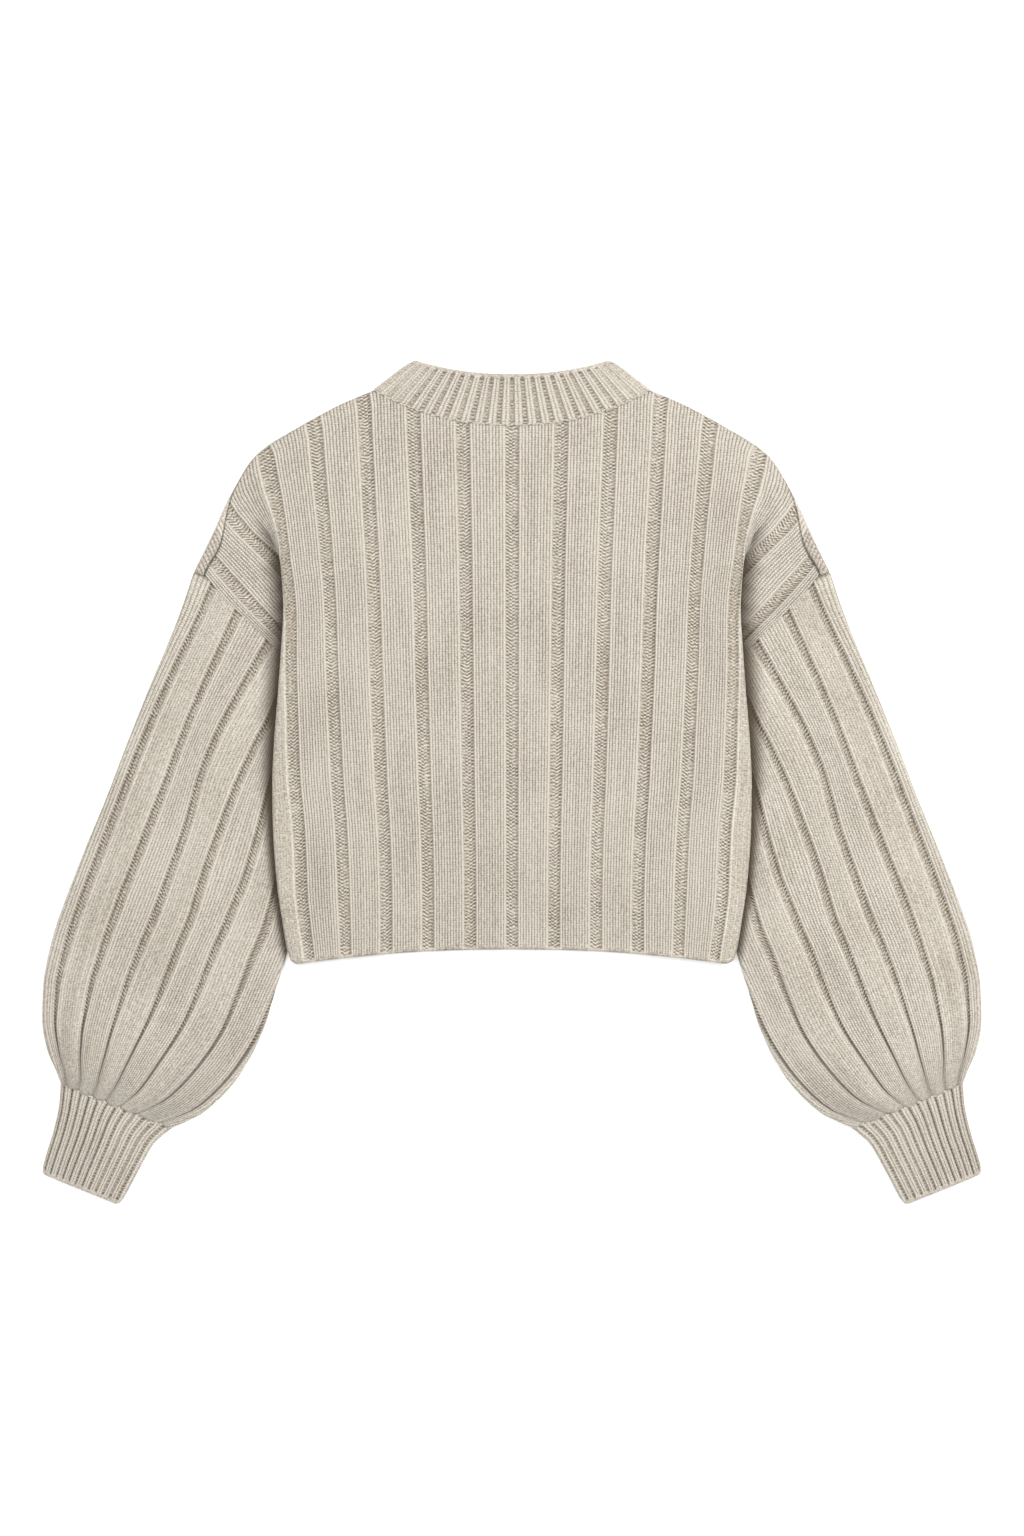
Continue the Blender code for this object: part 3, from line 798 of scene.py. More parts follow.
def body_shell(name, middle, ribs, from_hem, from_top, hidden, matted, painted_shade, seam_shade, face_up):
    """A body panel with its ribs, plain hem edge and rounded edges."""
    flat = np.maximum(hem_plainness(ribs, from_hem), 0.75 * matted)
    relief, purl, furrow = knit_relief(ribs, BODY_WALES, BODY_PURL, PURL_DEPTH, matted=matted)
    hem = 1.0 - smooth((from_hem - HEM_BAND + 0.8) / 1.2)
    relief = relief * (1.0 - flat) - 0.3 * hem
    if not face_up:
        relief = relief - BAND_CROWN
    round_hem = fullness(from_hem)
    from_side = (np.abs(ribs).max() - np.abs(ribs)) * FRONT_RIB
    pinch = fullness(from_top) * fullness(from_side)
    face = (HALF_WALL + relief) * (1.0 - 0.25 * hidden) * round_hem * pinch
    reverse = HALF_WALL * round_hem * (0.4 + 0.6 * pinch)
    # Painted shade: a thin line along the hem, a line along the top seam, the furrows beside the purl
    # columns and the shade the panel is given
    hem_shade = 0.3 * np.exp(-((from_hem - 1.0) / 0.6) ** 2)
    seam_shade_line = seam_shade * np.exp(-((from_top - 0.4) / 1.0) ** 2)
    tints = {"purl": purl * (1.0 - hem), "plain": flat, "furrow": 0.55 * furrow * (1.0 - hem),
             "painted_shade": np.maximum(np.maximum(painted_shade, hem_shade), seam_shade_line)}
    wale_uv = ribs * BODY_WALES - BODY_PURL
    return knit_shell(name, middle, face, reverse, wale_uv, from_hem / COURSE, tints,
                      closed=False, face_up=face_up)


def round_corner(to_edge, radius):
    """How far an outline steps back at a distance from its corner, which is a round one."""
    inside = np.clip(radius - to_edge, 0.0, radius)
    return radius - np.sqrt(radius ** 2 - inside ** 2)


def add_back():
    half = rib_columns(BACK_SIDE_RIBS, BODY_WALES, WALE_STEPS)
    row_levels = body_column("level")
    numbers = np.arange(len(row_levels))
    end_levels = np.interp(end_rows(half), numbers, row_levels)
    levels = spread_rows(np.full_like(half, row_levels[0]), end_levels, NEAR_HEM, NEAR_SEAM, BACK_BETWEEN)
    rows = through(row_levels, numbers, levels)
    points, hidden, shaded, matted = back_points(rows, np.broadcast_to(half, levels.shape))
    fold_x = body_column("start_x")[0] + LAYER / 2.0 + HALF_WALL
    hem_share = 1.0 - smooth((levels - row_levels[0]) / HEM_CORNER_REACH)
    points[..., 1] += round_corner(fold_x - points[..., 0], HEM_CORNER) * hem_share
    middle = mirrored_points(points)
    ribs = np.broadcast_to(np.concatenate([-half[:0:-1], half]), middle.shape[:2])
    lengths = run_lengths(middle)
    from_top = lengths[-1] - lengths
    # Painted shade along the top seam, lighter where the front's turned edge lies along it
    past_lip = smooth((LIP_ENDS - np.abs(ribs)) / 0.3)
    before_neck = smooth((np.abs(ribs) - NECK_RIB_END) / 0.1)
    seam_shade = 0.8 - 0.65 * past_lip * before_neck
    return body_shell("knit_back", middle, ribs, lengths, from_top, mirrored(hidden),
                      mirrored(matted), mirrored(shaded), seam_shade, face_up=True)


# --- Front -----------------------------------------------------------------------

def shoulder_line(rows):
    """The shoulder's outline and its outward direction, at some rows from TIP_ROW on."""
    numbers = np.arange(len(SHOULDER)) + TIP_ROW

    def line_at(places):
        return np.stack([through(numbers, column, places) for column in zip(*SHOULDER)], axis=-1)

    heading = line_at(np.minimum(rows + 0.05, numbers[-1])) - line_at(np.maximum(rows - 0.05, TIP_ROW))
    heading = unit(heading)
    return line_at(rows), np.stack([heading[..., 1], -heading[..., 0]], axis=-1)


def add_front():
    numbers = np.arange(len(BODY_ROWS))
    edge = np.stack([body_column("edge_x"), body_column("edge_y")], axis=-1)
    line, outward = shoulder_line(numbers[TIP_ROW:].astype(float))
    edge[TIP_ROW:] = line - outward * FRONT_INSET
    end_rib = np.maximum(edge[:, 0] / FRONT_RIB, FRONT_SIDE_RIBS)
    end_rib[:UNDERARM_ROW + 1] = FRONT_SIDE_RIBS
    half = rib_columns(end_rib[TIP_ROW] - 0.12, BODY_WALES, WALE_STEPS)
    rising = slice(UNDERARM_ROW, TIP_ROW + 1)
    starts = np.interp(half, end_rib[rising], numbers[rising])
    starts = np.where(half <= FRONT_SIDE_RIBS, 0.0, starts)
    ends = np.interp(half, end_rib[TIP_ROW:][::-1], numbers[TIP_ROW:][::-1])
    front_levels = body_column("front_y")
    start_levels = np.interp(starts, numbers, front_levels)
    end_levels = np.interp(ends, numbers, front_levels)
    levels = spread_rows(start_levels, end_levels, NEAR_HEM, NEAR_SEAM, FRONT_BETWEEN)
    rows = np.interp(levels, front_levels, numbers)
    edge_x = through(numbers, edge[:, 0], rows)
    edge_y = through(numbers, edge[:, 1], rows)
    x = edge_x * np.minimum(half / through(numbers, end_rib, rows), 1.0)
    curve = ROW_CURVE + (FRONT_NECK_CURVE - ROW_CURVE) * smooth(rows - TIP_ROW)
    level = through(numbers, front_levels, rows)
    y = level + (edge_y - level) * (x / edge_x) ** curve
    middle = mirrored_points(np.stack([x, y, np.full_like(x, LOWER_Z)], axis=-1))
    ribs = np.broadcast_to(np.concatenate([-half[:0:-1], half]), middle.shape[:2])
    lengths = run_lengths(middle)
    nothing = np.zeros(middle.shape[:2])
    return body_shell("knit_front", middle, ribs, lengths, lengths[-1] - lengths,
                      nothing, nothing, nothing, nothing, face_up=False)


# --- Shoulder edges: the front, turned over the shoulder line --------------------

def add_shoulder_edge(side_name, side):
    """A strip from the front's edge, round the shoulder line and on to the back's seam. It is a
    twisted rope where it shows widest, and flat and low near the collar."""
    rows = np.linspace(TIP_ROW, len(BODY_ROWS) - 1, EDGE_COLUMNS)
    line, outward = shoulder_line(rows)
    seam = np.stack([through(np.arange(len(BODY_ROWS)), body_column(name), rows)
                     for name in ("edge_x", "edge_y")], axis=-1)
    lip = np.sum((line - seam) * outward, axis=-1) - SEAM_GAP
    lip = np.maximum(lip, HALF_WALL + 0.8)
    run = run_lengths(line)
    turn = LAYER / 2.0
    turned = turn * math.pi
    inner = FRONT_INSET - SEAM_GAP - HALF_WALL - turn
    upper = lip[None, :] - HALF_WALL - turn
    length = inner + turned + upper
    distance = np.linspace(0.0, 1.0, EDGE_STEPS)[:, None] * length
    angle = np.clip((distance - inner) / turned, 0.0, 1.0) * math.pi
    inset = turn + np.maximum(inner - distance, 0.0) - turn * np.sin(angle)
    inset = inset + np.maximum(distance - inner - turned, 0.0) + HALF_WALL
    lowered = smooth((rows - TIP_ROW - 1.9) / 0.7)[None, :]
    z = LOWER_Z + turn * (1.0 - np.cos(angle)) * (1.0 - 0.5 * lowered)
    place = line[None] - outward[None] * inset[..., None]
    middle = np.concatenate([place, z[..., None]], axis=-1)
    middle[..., 0] *= side
    wide = smooth((lip - 3.6) / 3.0)[None, :]
    strand = (run[None, :] + 0.9 * inset) / ROPE_PITCH
    rope = np.abs(np.sin(math.pi * strand)) ** 0.6 - 0.6
    from_ends = np.minimum(run, run[-1] - run)[None, :]
    pinch = fullness(length - distance) * fullness(distance) * fullness(from_ends)
    on_top = smooth((z - LOWER_Z - turn) / turn)
    face = (HALF_WALL + (0.9 * rope * wide - 0.3) * on_top) * pinch * (1.0 - 0.5 * lowered)
    reverse = HALF_WALL * pinch * (1.0 - 0.5 * lowered)
    # Painted shade in the valleys between the rope's strands, and at the strip's start by the sleeve
    valley = np.exp(-((np.abs(np.cos(math.pi * strand)) - 1.0) / 0.12) ** 2)
    sleeve_end_shade = 0.8 * np.exp(-(run[None, :] / 1.6) ** 2)
    painted_shade = np.maximum(0.45 * wide * valley * on_top, sleeve_end_shade)
    tints = {"purl": np.zeros_like(face), "plain": np.broadcast_to(1.0 - 0.3 * wide, face.shape),
             "furrow": np.zeros_like(face), "painted_shade": painted_shade}
    return knit_shell("knit_shoulder_" + side_name, middle, face, reverse, strand,
                      distance / COURSE, tints, closed=False, face_up=True)


# --- Flattened tubes ---------------------------------------------------------------

def tube_rows(rings, ring_columns, near_start, near_end, between, count):
    """Rows of a tube's mesh: how far along it they lie, their places in the table of rings, the
    table read there for each of the mesh's columns, and the middles of the rings."""
    numbers = np.arange(len(rings))
    table = table_at(rings, ring_columns, numbers)
    centre = np.stack([table["outer_x"] + table["inner_x"],
                       table["outer_y"] + table["inner_y"]], axis=-1) / 2
    ring_lengths = run_lengths(centre)
    lengths = spread_rows(np.zeros(1), ring_lengths[-1:], near_start, near_end, between)[:, 0]
    places = through(ring_lengths, numbers, lengths)
    sizes = table_at(rings, ring_columns, places[:, None] + np.zeros((1, count)))
    return lengths, places, sizes, centre


def tube_points(around, sizes, edge_heights, height_at, bulge_at=lambda share: 0.0):
    """Middle surface of a flattened tube. around runs from 0 at its outer edge to 1 at its
    inner edge over the upper layer, and on to 2 back under it."""
    outer = np.stack([sizes["outer_x"], sizes["outer_y"]], axis=-1)
    across = np.stack([sizes["inner_x"], sizes["inner_y"]], axis=-1) - outer
    width = np.linalg.norm(across, axis=-1)
    direction = across / width[..., None]
    upper = around <= 1.0
    share = np.where(upper, around, 2.0 - around)
    outer_radius = (edge_heights[0] - LOWER_Z) / 2.0
    inner_radius = (edge_heights[1] - LOWER_Z) / 2.0
    quarter_outer = outer_radius * math.pi / 2.0
    quarter_inner = inner_radius * math.pi / 2.0
    straight = width - outer_radius - inner_radius
    run = share * (quarter_outer + straight + quarter_inner)
    outer_turn = np.clip(run / quarter_outer, 0.0, 1.0) * math.pi / 2.0
    left = quarter_outer + straight
    inner_turn = np.clip((run - left) / quarter_inner, 0.0, 1.0) * math.pi / 2.0
    flat_run = np.clip(run - quarter_outer, 0.0, straight)
    distance = outer_radius * (1.0 - np.cos(outer_turn)) + flat_run + inner_radius * np.sin(inner_turn)
    flat_share = distance / width
    top = height_at(flat_share)
    rise_outer = np.sin(outer_turn)
    rise_inner = np.cos(inner_turn)
    middle_height = (top + LOWER_Z) / 2.0
    swing = (top - LOWER_Z) / 2.0 * rise_outer * rise_inner
    z = np.where(upper, middle_height + swing, middle_height - swing)
    z = np.where((rise_outer >= 1.0) & (rise_inner >= 1.0) & ~upper, LOWER_Z, z)
    place = outer + direction * distance[..., None]
    x = place[..., 0] + bulge_at(flat_share)
    return np.stack([x, place[..., 1], z], axis=-1)


def tucked_under(middle, share):
    """A tube whose first rows dip and reach a little way under the cloth they are sewn to."""
    back = unit(middle[0] - middle[4])
    on_top = smooth((middle[..., 2] - LOWER_Z) / LAYER)
    amount = share[:, None] * on_top
    moved = middle + back * (SEAM_REACH * amount)[..., None]
    moved[..., 2] = middle[..., 2] - SEAM_DROP * amount
    return moved


def sleeve_around(ribs, sizes, start):
    """Where each rib column lies round the sleeve: through the seven purl columns in the table."""
    knots = np.stack([sizes["rib%d" % number] for number in range(7)], axis=-1)
    around = np.empty_like(ribs)
    for row in range(len(ribs)):
        places = [start[row, 0], *range(7), SLEEVE_REPEATS + start[row, 0]]
        around[row] = through(places, [0.0, *knots[row, 0], 2.0], ribs[row])
    return around


def sleeve_shade(middle, sizes, wrapped, wale_width, from_armhole):
    """Painted shade under the body's fold, in the creases of the gathers and along the armhole."""
    fold_y = body_column("edge_y")[:TIP_ROW + 1]
    fold_x = body_column("start_x")[:TIP_ROW + 1] + LAYER / 2.0
    past_fold = np.abs(middle[..., 0]) - np.interp(middle[..., 1], fold_y, fold_x)
    above_hem = smooth((middle[..., 1] - fold_y[0] + 12.0) / 14.0)
    under_body_shade = fold_shade(past_fold, middle[..., 1]) * above_hem
    off_crease = np.abs((wrapped + 0.5) % 1.0 - 0.5) * SLEEVE_WALES * wale_width
    crease_reach = 0.5 + 0.5 * sizes["swell"]
    crease_shade = 0.75 * smooth((sizes["swell"] - 1.8) / 1.8) * np.exp(-(off_crease / crease_reach) ** 2)
    seam_shade_line = 0.75 * np.exp(-((from_armhole - 1.0) / 1.5) ** 2)
    return np.maximum(np.maximum(under_body_shade, crease_shade), seam_shade_line)


def add_sleeve(side_name, side):
    columns_per_rib = SLEEVE_WALES * WALE_STEPS
    count = SLEEVE_REPEATS * columns_per_rib
    lengths, numbers, sizes, _ = tube_rows(SLEEVE_RINGS, SLEEVE_COLUMNS, NEAR_ARMHOLE,
                                           NEAR_GATHERS, SLEEVE_BETWEEN, count)
    start = -sizes["rib0"] / (sizes["rib1"] - sizes["rib0"])
    first_rib = math.floor(start.min() * columns_per_rib) / columns_per_rib
    ribs = first_rib + np.arange(count) / columns_per_rib + np.zeros((len(lengths), 1))
    wrapped = start + (ribs - start) % SLEEVE_REPEATS
    around = sleeve_around(wrapped, sizes, start)

    fade = np.interp(numbers, np.arange(len(ARMHOLE_FADE)), ARMHOLE_FADE)[:, None]
    to_purl = np.abs((wrapped + 0.5) % 1.0 - 0.5) * 2.0
    swell_share = np.sqrt(1.0 - (1.0 - to_purl) ** 2)

    def heights(share):
        rise = EDGE_PUFF + (1.0 - EDGE_PUFF) * smooth(share / PUFF_RISE)
        open_fall = EDGE_PUFF + (1.0 - EDGE_PUFF) * smooth((1.0 - share) / PUFF_RISE)
        tucked_fall = smooth((TUCKED_SHARE - share) / PUFF_RISE)
        fall = sizes["tucked"] * tucked_fall + (1.0 - sizes["tucked"]) * open_fall
        return UPPER_Z + sizes["puff"] * rise * fall + sizes["swell"] * swell_share

    def bulges(share):
        return np.interp(share, ARMHOLE_SHARES, ARMHOLE_BULGES) * fade

    outer_edge = UPPER_Z + sizes["puff"] * EDGE_PUFF
    inner_edge = UPPER_Z + sizes["puff"] * EDGE_PUFF * (1.0 - sizes["tucked"])
    middle = tube_points(around, sizes, (outer_edge, inner_edge), heights, bulges)
    near_cuff = smooth(1.0 - (lengths[-1] - lengths) / GATHER_REACH)[:, None]
    scallop = near_cuff * (GATHER_SCALLOP * (swell_share - 0.45))
    middle = middle + unit(middle[-1] - middle[-4]) * scallop[..., None]
    middle = tucked_under(middle, 1.0 - smooth(lengths / SEAM_DIP))
    middle[..., 0] *= side
    from_armhole = run_lengths(middle)
    from_cuff = from_armhole[-1] - from_armhole
    middle[..., 2] += swells(middle[..., 0], middle[..., 1]) * smooth((middle[..., 2] - 4.0) / 3.0)
    band = np.floor(wrapped).astype(int) % SLEEVE_REPEATS
    matted = np.array(SLEEVE_MATTED)[(band + 1) % SLEEVE_REPEATS]
    relief, purl, furrow = knit_relief(ribs, SLEEVE_WALES, SLEEVE_PURL, SLEEVE_PURL_DEPTH,
                                       sizes["purl"], matted, furrow_side=-1.0)
    wale_width = np.linalg.norm(np.roll(middle, -1, axis=1) - middle, axis=2) * WALE_STEPS
    squeeze = wale_width / SLEEVE_WALE
    relief = relief * np.clip(squeeze, 0.45, 1.0)
    pinch = fullness(from_armhole) * fullness(from_cuff)
    face = (HALF_WALL + relief) * pinch
    reverse = HALF_WALL * (0.4 + 0.6 * pinch)
    wale_uv = ribs * SLEEVE_WALES - SLEEVE_PURL
    painted_shade = sleeve_shade(middle, sizes, wrapped, wale_width, from_armhole)
    gathered = smooth((sizes["swell"] - 2.4) / 1.6)
    tints = {"purl": purl * (1.0 - gathered), "plain": 0.9 * matted, "painted_shade": painted_shade,
             "furrow": furrow * (1.0 - gathered)}
    return knit_shell("knit_sleeve_" + side_name, middle, face, reverse, wale_uv,
                      from_armhole / COURSE, tints, closed=True, face_up=True)


# --- Cuffs -----------------------------------------------------------------------

def rib_shell(name, middle, ribs, from_seam, relief, purl, plain, furrow, depth):
    """The shell of a cuff or of the neckband. depth is how dark the painted shade in its furrows is."""
    pinch = fullness(from_seam) * fullness(from_seam[-1] - from_seam)
    face = (HALF_WALL + relief) * pinch
    reverse = 0.5 * HALF_WALL * pinch
    tints = {"purl": purl, "plain": plain, "furrow": 0.5 * furrow, "painted_shade": depth * furrow}
    return knit_shell(name, middle, face, reverse, ribs * RIB_WALES - RIB_PURL,
                      from_seam / COURSE, tints, closed=True, face_up=True)


def add_cuff(side_name, side):
    columns_per_rib = RIB_WALES * RIB_STEPS
    count = CUFF_REPEATS * columns_per_rib
    lengths, _, sizes, centre = tube_rows(CUFF_RINGS, CUFF_COLUMNS, NEAR_RIB_SEAM,
                                          NEAR_CUFF_END, CUFF_BETWEEN, count)
    ribs = np.arange(count) / columns_per_rib + np.zeros((len(lengths), 1))
    rib_numbers = np.arange(12)
    grooves = CUFF_FIRST_RIB + CUFF_RIB * rib_numbers + CUFF_RIB_GROWTH * rib_numbers ** 2
    places = [CUFF_START, *rib_numbers, CUFF_TURN, CUFF_REPEATS + CUFF_START]
    wrapped = CUFF_START + (ribs - CUFF_START) % CUFF_REPEATS
    around = through(places, [0.0, *grooves, 1.0, 2.0], wrapped)
    edge = np.full_like(around, CUFF_TOP)
    middle = tube_points(
        around, sizes, (edge, edge),
        lambda share: CUFF_TOP + CUFF_PUFF * np.sin(math.pi * np.clip(share, 0.0, 1.0)))
    width = np.hypot(sizes["outer_x"] - sizes["inner_x"], sizes["outer_y"] - sizes["inner_y"])
    share = np.where(around <= 1.0, around, 2.0 - around)
    back_step = round_corner(np.minimum(share, 1.0 - share) * width, CUFF_CORNER)
    back_step = back_step * smooth(1.0 - (lengths[-1] - lengths)[:, None] / 14.0)
    middle[..., :2] -= unit(centre[-1] - centre[-2]) * back_step[..., None]
    middle = tucked_under(middle, 1.0 - smooth(lengths / SEAM_DIP))
    middle[..., 0] *= side
    from_seam = run_lengths(middle)
    from_end = from_seam[-1] - from_seam
    inner_half = smooth((share - 0.35) / 0.4)
    relief, purl, plain, furrow = rib_relief(ribs, from_end, 0.27 + 0.15 * inner_half, CUFF_PURL_DEPTH)
    # Painted shade along the middle of each groove, weaker on the inner half
    off_groove = np.abs((ribs + 0.5) % 1.0 - 0.5) * RIB_WALES
    uneven = 0.85 + 0.15 * np.sin(np.floor(ribs + 0.5) * 2.3)
    groove_shade = uneven * np.exp(-(off_groove / 0.24) ** 2) * (1.0 - plain) * (0.95 - 0.5 * inner_half)
    return rib_shell("knit_cuff_" + side_name, middle, ribs, from_seam, relief, purl, plain,
                     np.maximum(furrow, groove_shade), CUFF_FURROW_SHADE)


# --- Neckband ----------------------------------------------------------------------

def add_neckband():
    """One tube: its upper half stands on the back's neck, its lower half on the front's."""
    columns_per_rib = RIB_WALES * RIB_STEPS
    repeats = round(4 * NECK_RIBS)
    count = repeats * columns_per_rib
    heights = spread_rows(np.zeros(1), np.full(1, NECK_HEIGHT), NEAR_RIB_SEAM, NEAR_NECK_END,
                          NECK_BETWEEN)[:, 0]
    ribs = -NECK_RIBS + np.arange(count) / columns_per_rib + np.zeros((len(heights), 1))
    upper = ribs < NECK_RIBS
    rib = np.where(upper, ribs, 2.0 * NECK_RIBS - ribs)
    share = NECK_RIB * rib - NECK_RIB_LOSS * rib ** 3
    share = share / (NECK_RIB * NECK_RIBS - NECK_RIB_LOSS * NECK_RIBS ** 3)
    rise = (heights / heights[-1])[:, None]
    half = NECK_HALF + (NECK_TOP_HALF - NECK_HALF) * rise - HALF_WALL
    radius = LAYER / 2.0
    run = np.abs(share) * (half - radius + radius * math.pi / 2.0)
    turn = np.clip((run - half + radius) / (radius * math.pi / 2.0), 0.0, 1.0) * math.pi / 2.0
    x = np.sign(share) * (np.minimum(run, half - radius) + radius * np.sin(turn))
    x_share = np.abs(x) / half
    back_base = BACK_NECK_Y + 0.3 + (NECK_SIDE_Y - BACK_NECK_Y) * x_share ** ROW_CURVE
    back_top = NECK_BACK_TOP_Y + (NECK_CORNER_Y - NECK_BACK_TOP_Y) * x_share ** ROW_CURVE
    front_base = FRONT_NECK_Y + 0.3 + (NECK_SIDE_Y - FRONT_NECK_Y) * x_share ** FRONT_NECK_CURVE
    front_top = NECK_FRONT_TOP_Y + (NECK_CORNER_Y - NECK_FRONT_TOP_Y) * x_share ** FRONT_NECK_CURVE
    base = np.where(upper, back_base, front_base)
    top = np.where(upper, back_top, front_top)
    y = base + (top - base) * rise
    y = y - round_corner(half - np.abs(x), NECK_CORNER) * smooth((rise - 0.75) / 0.25)
    swing = np.cos(turn) * radius
    puff = 1.6 * np.sin(math.pi * rise) * np.cos(turn) * (1.0 - 0.4 * x_share)
    z = np.where(upper, LOWER_Z + radius + swing + puff, LOWER_Z + radius - swing)
    middle = tucked_under(np.stack([x, y, z], axis=-1), 1.0 - smooth(heights / SEAM_DIP))
    from_seam = run_lengths(middle)
    from_top = from_seam[-1] - from_seam
    relief, purl, plain, furrow = rib_relief(ribs, from_top, NECK_PURL_HALF, NECK_PURL_DEPTH)
    # The ribs flatten out towards the collar's ends
    shown = 1.0 - 0.6 * smooth((x_share - 0.72) / 0.2)
    relief = relief * (0.4 + 0.6 * shown)
    plain = np.maximum(plain, 0.5 * (1.0 - shown))
    return rib_shell("knit_neckband", middle, ribs, from_seam, relief, purl * shown, plain,
                     furrow * shown, NECK_FURROW_SHADE)


# --- Seam stitches ---------------------------------------------------------------

BEAD_AROUND = 8
BEAD_ALONG = 6


def stitch_row(name, places, headings, lengths, widths, turns):
    """A row of small oval stitches, as one mesh. places are their middles."""
    pole = np.linspace(0.0, math.pi, BEAD_ALONG + 1)
    spin = np.arange(BEAD_AROUND) * 2.0 * math.pi / BEAD_AROUND
    along = -np.cos(pole)[:, None]
    round_share = np.maximum(np.sin(pole), 0.05)[:, None]
    across = round_share * np.cos(spin)
    above = round_share * np.sin(spin)
    points = []
    faces = []
    for number, (place, heading, length, width, turn) in enumerate(
            zip(places, headings, lengths, widths, turns)):
        angle = math.atan2(heading[1], heading[0]) + turn
        forward = np.array((math.cos(angle), math.sin(angle), 0.0))
        sideways = np.array((-forward[1], forward[0], 0.0))
        upward = np.array((0.0, 0.0, 1.0))
        net = (place + forward * (along * length / 2.0)[..., None]
               + sideways * (across * width / 2.0)[..., None]
               + upward * (above * width / 2.0)[..., None])
        first = number * (BEAD_ALONG + 1) * BEAD_AROUND
        points.append(net.reshape(-1, 3))
        faces.extend(net_faces(BEAD_ALONG + 1, BEAD_AROUND, True, first, True).tolist())
        faces.append([first + corner for corner in range(BEAD_AROUND)])
        last = first + BEAD_ALONG * BEAD_AROUND
        faces.append([last + corner for corner in reversed(range(BEAD_AROUND))])
    mesh = bpy.data.meshes.new(name)
    mesh.from_pydata((np.concatenate(points) * MM).tolist(), [], faces)
    mesh.validate()
    return link_mesh(name, mesh)


def along_curve(curve, step):
    """Places at equal steps along a curve, and the headings there."""
    run = run_lengths(curve)
    count = max(2, round(run[-1] / step))
    at = (np.arange(count) + 0.5) * run[-1] / count
    places = np.stack([np.interp(at, run, curve[:, axis]) for axis in range(3)], axis=-1)
    ahead = np.stack([np.interp(at + 1.0, run, curve[:, axis]) for axis in range(3)], axis=-1)
    behind = np.stack([np.interp(at - 1.0, run, curve[:, axis]) for axis in range(3)], axis=-1)
    return places, ahead - behind


def add_neck_stitches():
    """The linked seam between the back and the neckband."""
    x = np.linspace(-NECK_HALF + 2.0, NECK_HALF - 2.0, 200)
    y = BACK_NECK_Y + (NECK_SIDE_Y - BACK_NECK_Y) * (np.abs(x) / NECK_HALF) ** ROW_CURVE
    z = np.full_like(x, UPPER_Z + HALF_WALL - 0.3)
    places, headings = along_curve(np.stack([x, y - 0.6, z], axis=-1), NECK_STITCH)
    odd = np.arange(len(places)) % 2
    places[:, 1] += 0.5 * odd + 0.35 * np.sin(np.arange(len(places)) * 1.7)
    count = len(places)
    return stitch_row("neck_stitches", places, headings, np.full(count, NECK_STITCH * 1.15),
                      np.full(count, 1.9), np.where(odd == 1, 0.3, -0.25))


def add_cuff_stitches(side_name, side):
    """Small knots where the ribs of the cuff run into the gathered sleeve."""
    outer = np.array(CUFF_RINGS[0][:2])
    inner = np.array(CUFF_RINGS[0][2:])
    across = inner - outer
    count = CUFF_STITCHES
    shares = (np.arange(count) + 0.5) / count
    odd = np.arange(count) % 2
    shares = shares + 0.008 * np.sin(np.arange(count) * 2.3)
    wave = 1.1 * np.sin(np.arange(count) * 1.9) + 0.5 * odd
    downward = np.array((-across[1], across[0])) / np.linalg.norm(across)
    if downward[1] > 0:
        downward = -downward
    flat = outer + across * shares[:, None] + downward * (wave + 0.4)[:, None]
    z = CUFF_TOP + 0.7 + CUFF_PUFF * np.sin(math.pi * shares)
    places = np.concatenate([flat, z[:, None]], axis=1)
    places[:, 0] *= side
    heading = np.array((across[0] * side, across[1]))
    sizes = 2.6 + 1.2 * np.abs(np.sin(np.arange(count) * 2.9))
    turns = 0.5 * np.sin(np.arange(count) * 3.7)
    return stitch_row("cuff_stitches_" + side_name, places, [heading] * count,
                      sizes * 1.35, sizes * 0.85, turns)


# --- Stage -------------------------------------------------------------------------

def add_stage():
    bpy.ops.mesh.primitive_plane_add(size=6.0, location=(0.0, 0.0, -0.0002))
    floor = bpy.context.object
    floor.name = "floor"
    shader = Shader("floor_white")
    shader.principled.inputs["Base Color"].default_value = (0.97, 0.97, 0.97, 1.0)
    shader.principled.inputs["Roughness"].default_value = 0.9
    shader.principled.inputs["Specular IOR Level"].default_value = 0.0
    floor.data.materials.append(shader.material)


def add_light(name, place, size, power):
    """A square softbox that faces the middle of the garment."""
    data = bpy.data.lights.new(name, "AREA")
    data.shape = "SQUARE"
    data.size = size
    data.energy = power
    light = bpy.data.objects.new(name, data)
    light.location = place
    reach = -np.array(place)
    tilt = math.atan2(math.hypot(reach[0], reach[1]), -reach[2])
    turn = math.atan2(reach[1], reach[0]) - math.pi / 2.0
    light.rotation_euler = (tilt, 0.0, turn)
    bpy.context.scene.collection.objects.link(light)


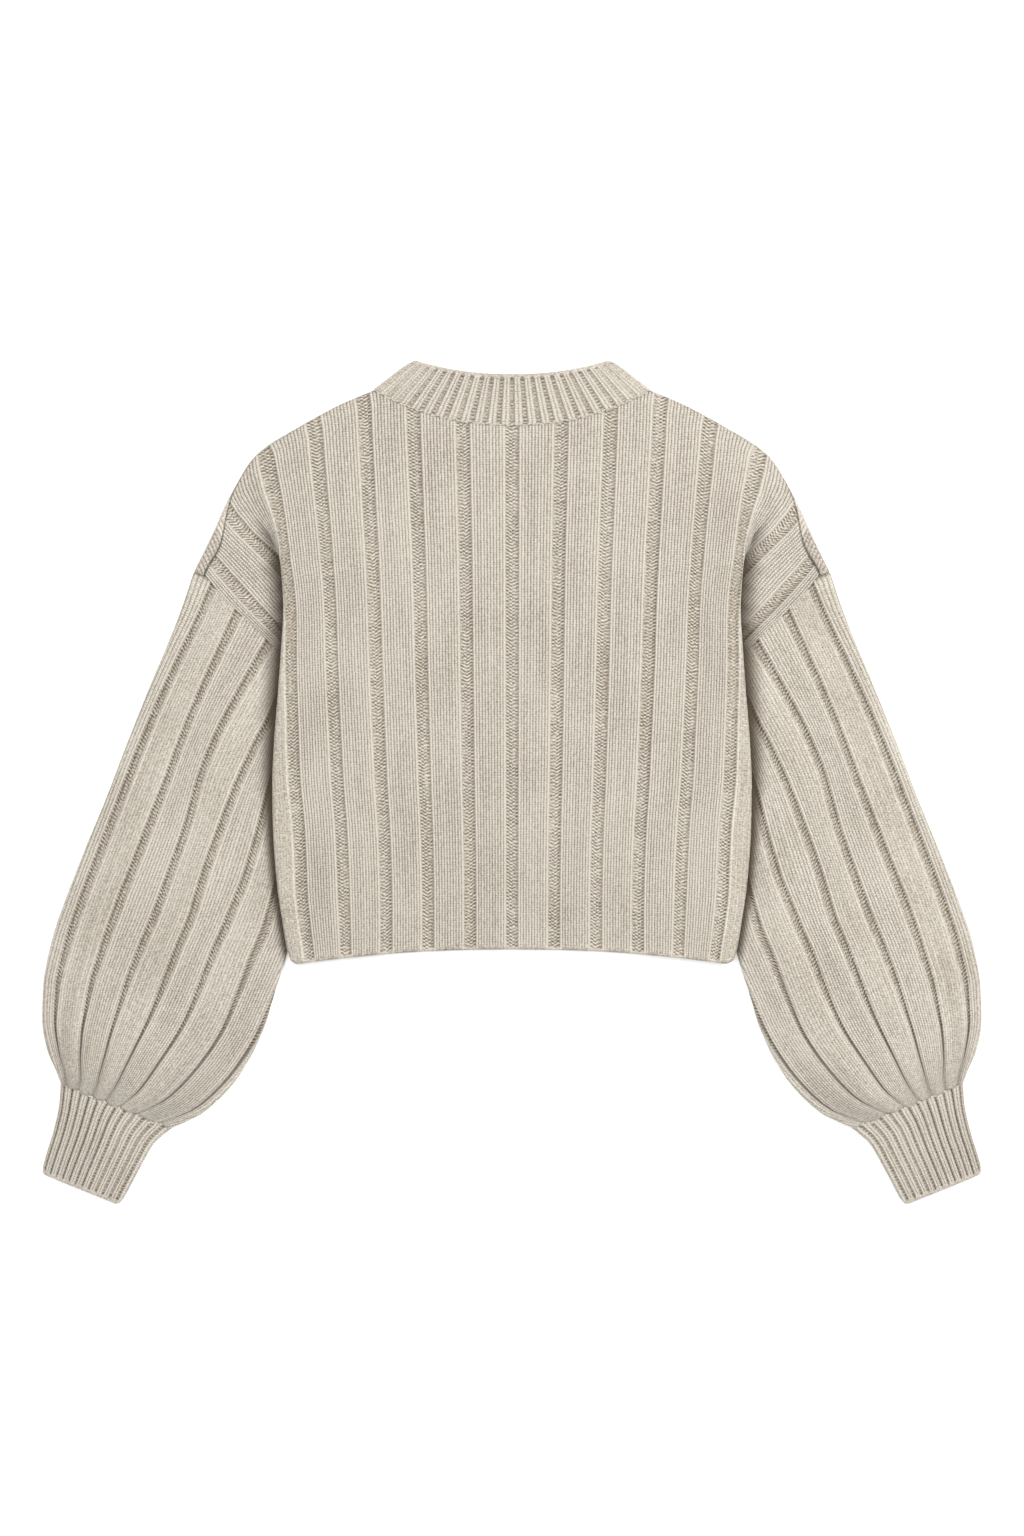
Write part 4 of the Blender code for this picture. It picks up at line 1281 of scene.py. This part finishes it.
def add_lights():
    add_light("key_light", (1.5, 0.9, 2.0), 0.9, 45.5)
    add_light("overhead_light", (-0.2, 0.1, 2.6), 2.0, 60.5)
    world = bpy.data.worlds.new("studio")
    world.use_nodes = True
    background = world.node_tree.nodes["Background"]
    background.inputs["Color"].default_value = (1.0, 1.0, 1.0, 1.0)
    background.inputs["Strength"].default_value = 0.65
    bpy.context.scene.world = world


def add_camera():
    data = bpy.data.cameras.new("camera")
    data.sensor_fit = "AUTO"
    data.sensor_width = SENSOR
    data.lens = SENSOR * CAMERA_HEIGHT / VIEW_HEIGHT
    data.dof.use_dof = False
    camera = bpy.data.objects.new("camera", data)
    camera.location = (0.0, CAMERA_Y, CAMERA_HEIGHT)
    bpy.context.scene.collection.objects.link(camera)
    bpy.context.scene.camera = camera


def main():
    add_camera()
    add_lights()
    add_stage()
    bpy.context.scene.view_settings.view_transform = "Standard"
    body_knit = knit_material("body_knit", BODY_WALES, BODY_PURL, BODY_TONES)
    sleeve_knit = knit_material("sleeve_knit", SLEEVE_WALES, SLEEVE_PURL, SLEEVE_TONES)
    rib_knit = knit_material("rib_knit", RIB_WALES, RIB_PURL, RIB_TONES)
    yarn = yarn_material("seam_yarn")

    pieces = {"back": add_back(), "front": add_front(), "neckband": add_neckband()}
    trims = {"neckband": [add_neck_stitches()], "front": []}
    finishes = {"back": body_knit, "front": body_knit, "neckband": rib_knit}
    for side_name, side in (("left", -1.0), ("right", 1.0)):
        sleeve = "sleeve_" + side_name
        cuff = "cuff_" + side_name
        pieces[sleeve] = add_sleeve(side_name, side)
        pieces[cuff] = add_cuff(side_name, side)
        finishes[sleeve] = sleeve_knit
        finishes[cuff] = rib_knit
        edge = add_shoulder_edge(side_name, side)
        edge.data.materials.append(body_knit)
        trims["front"].append(edge)
        trims[cuff] = [add_cuff_stitches(side_name, side)]

    for node, piece in pieces.items():
        piece.data.materials.append(finishes[node])
        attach(piece, "root")
        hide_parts(node)
    for node, extras in trims.items():
        for extra in extras:
            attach(extra, "root")
            if not extra.data.materials:
                extra.data.materials.append(yarn)


main()
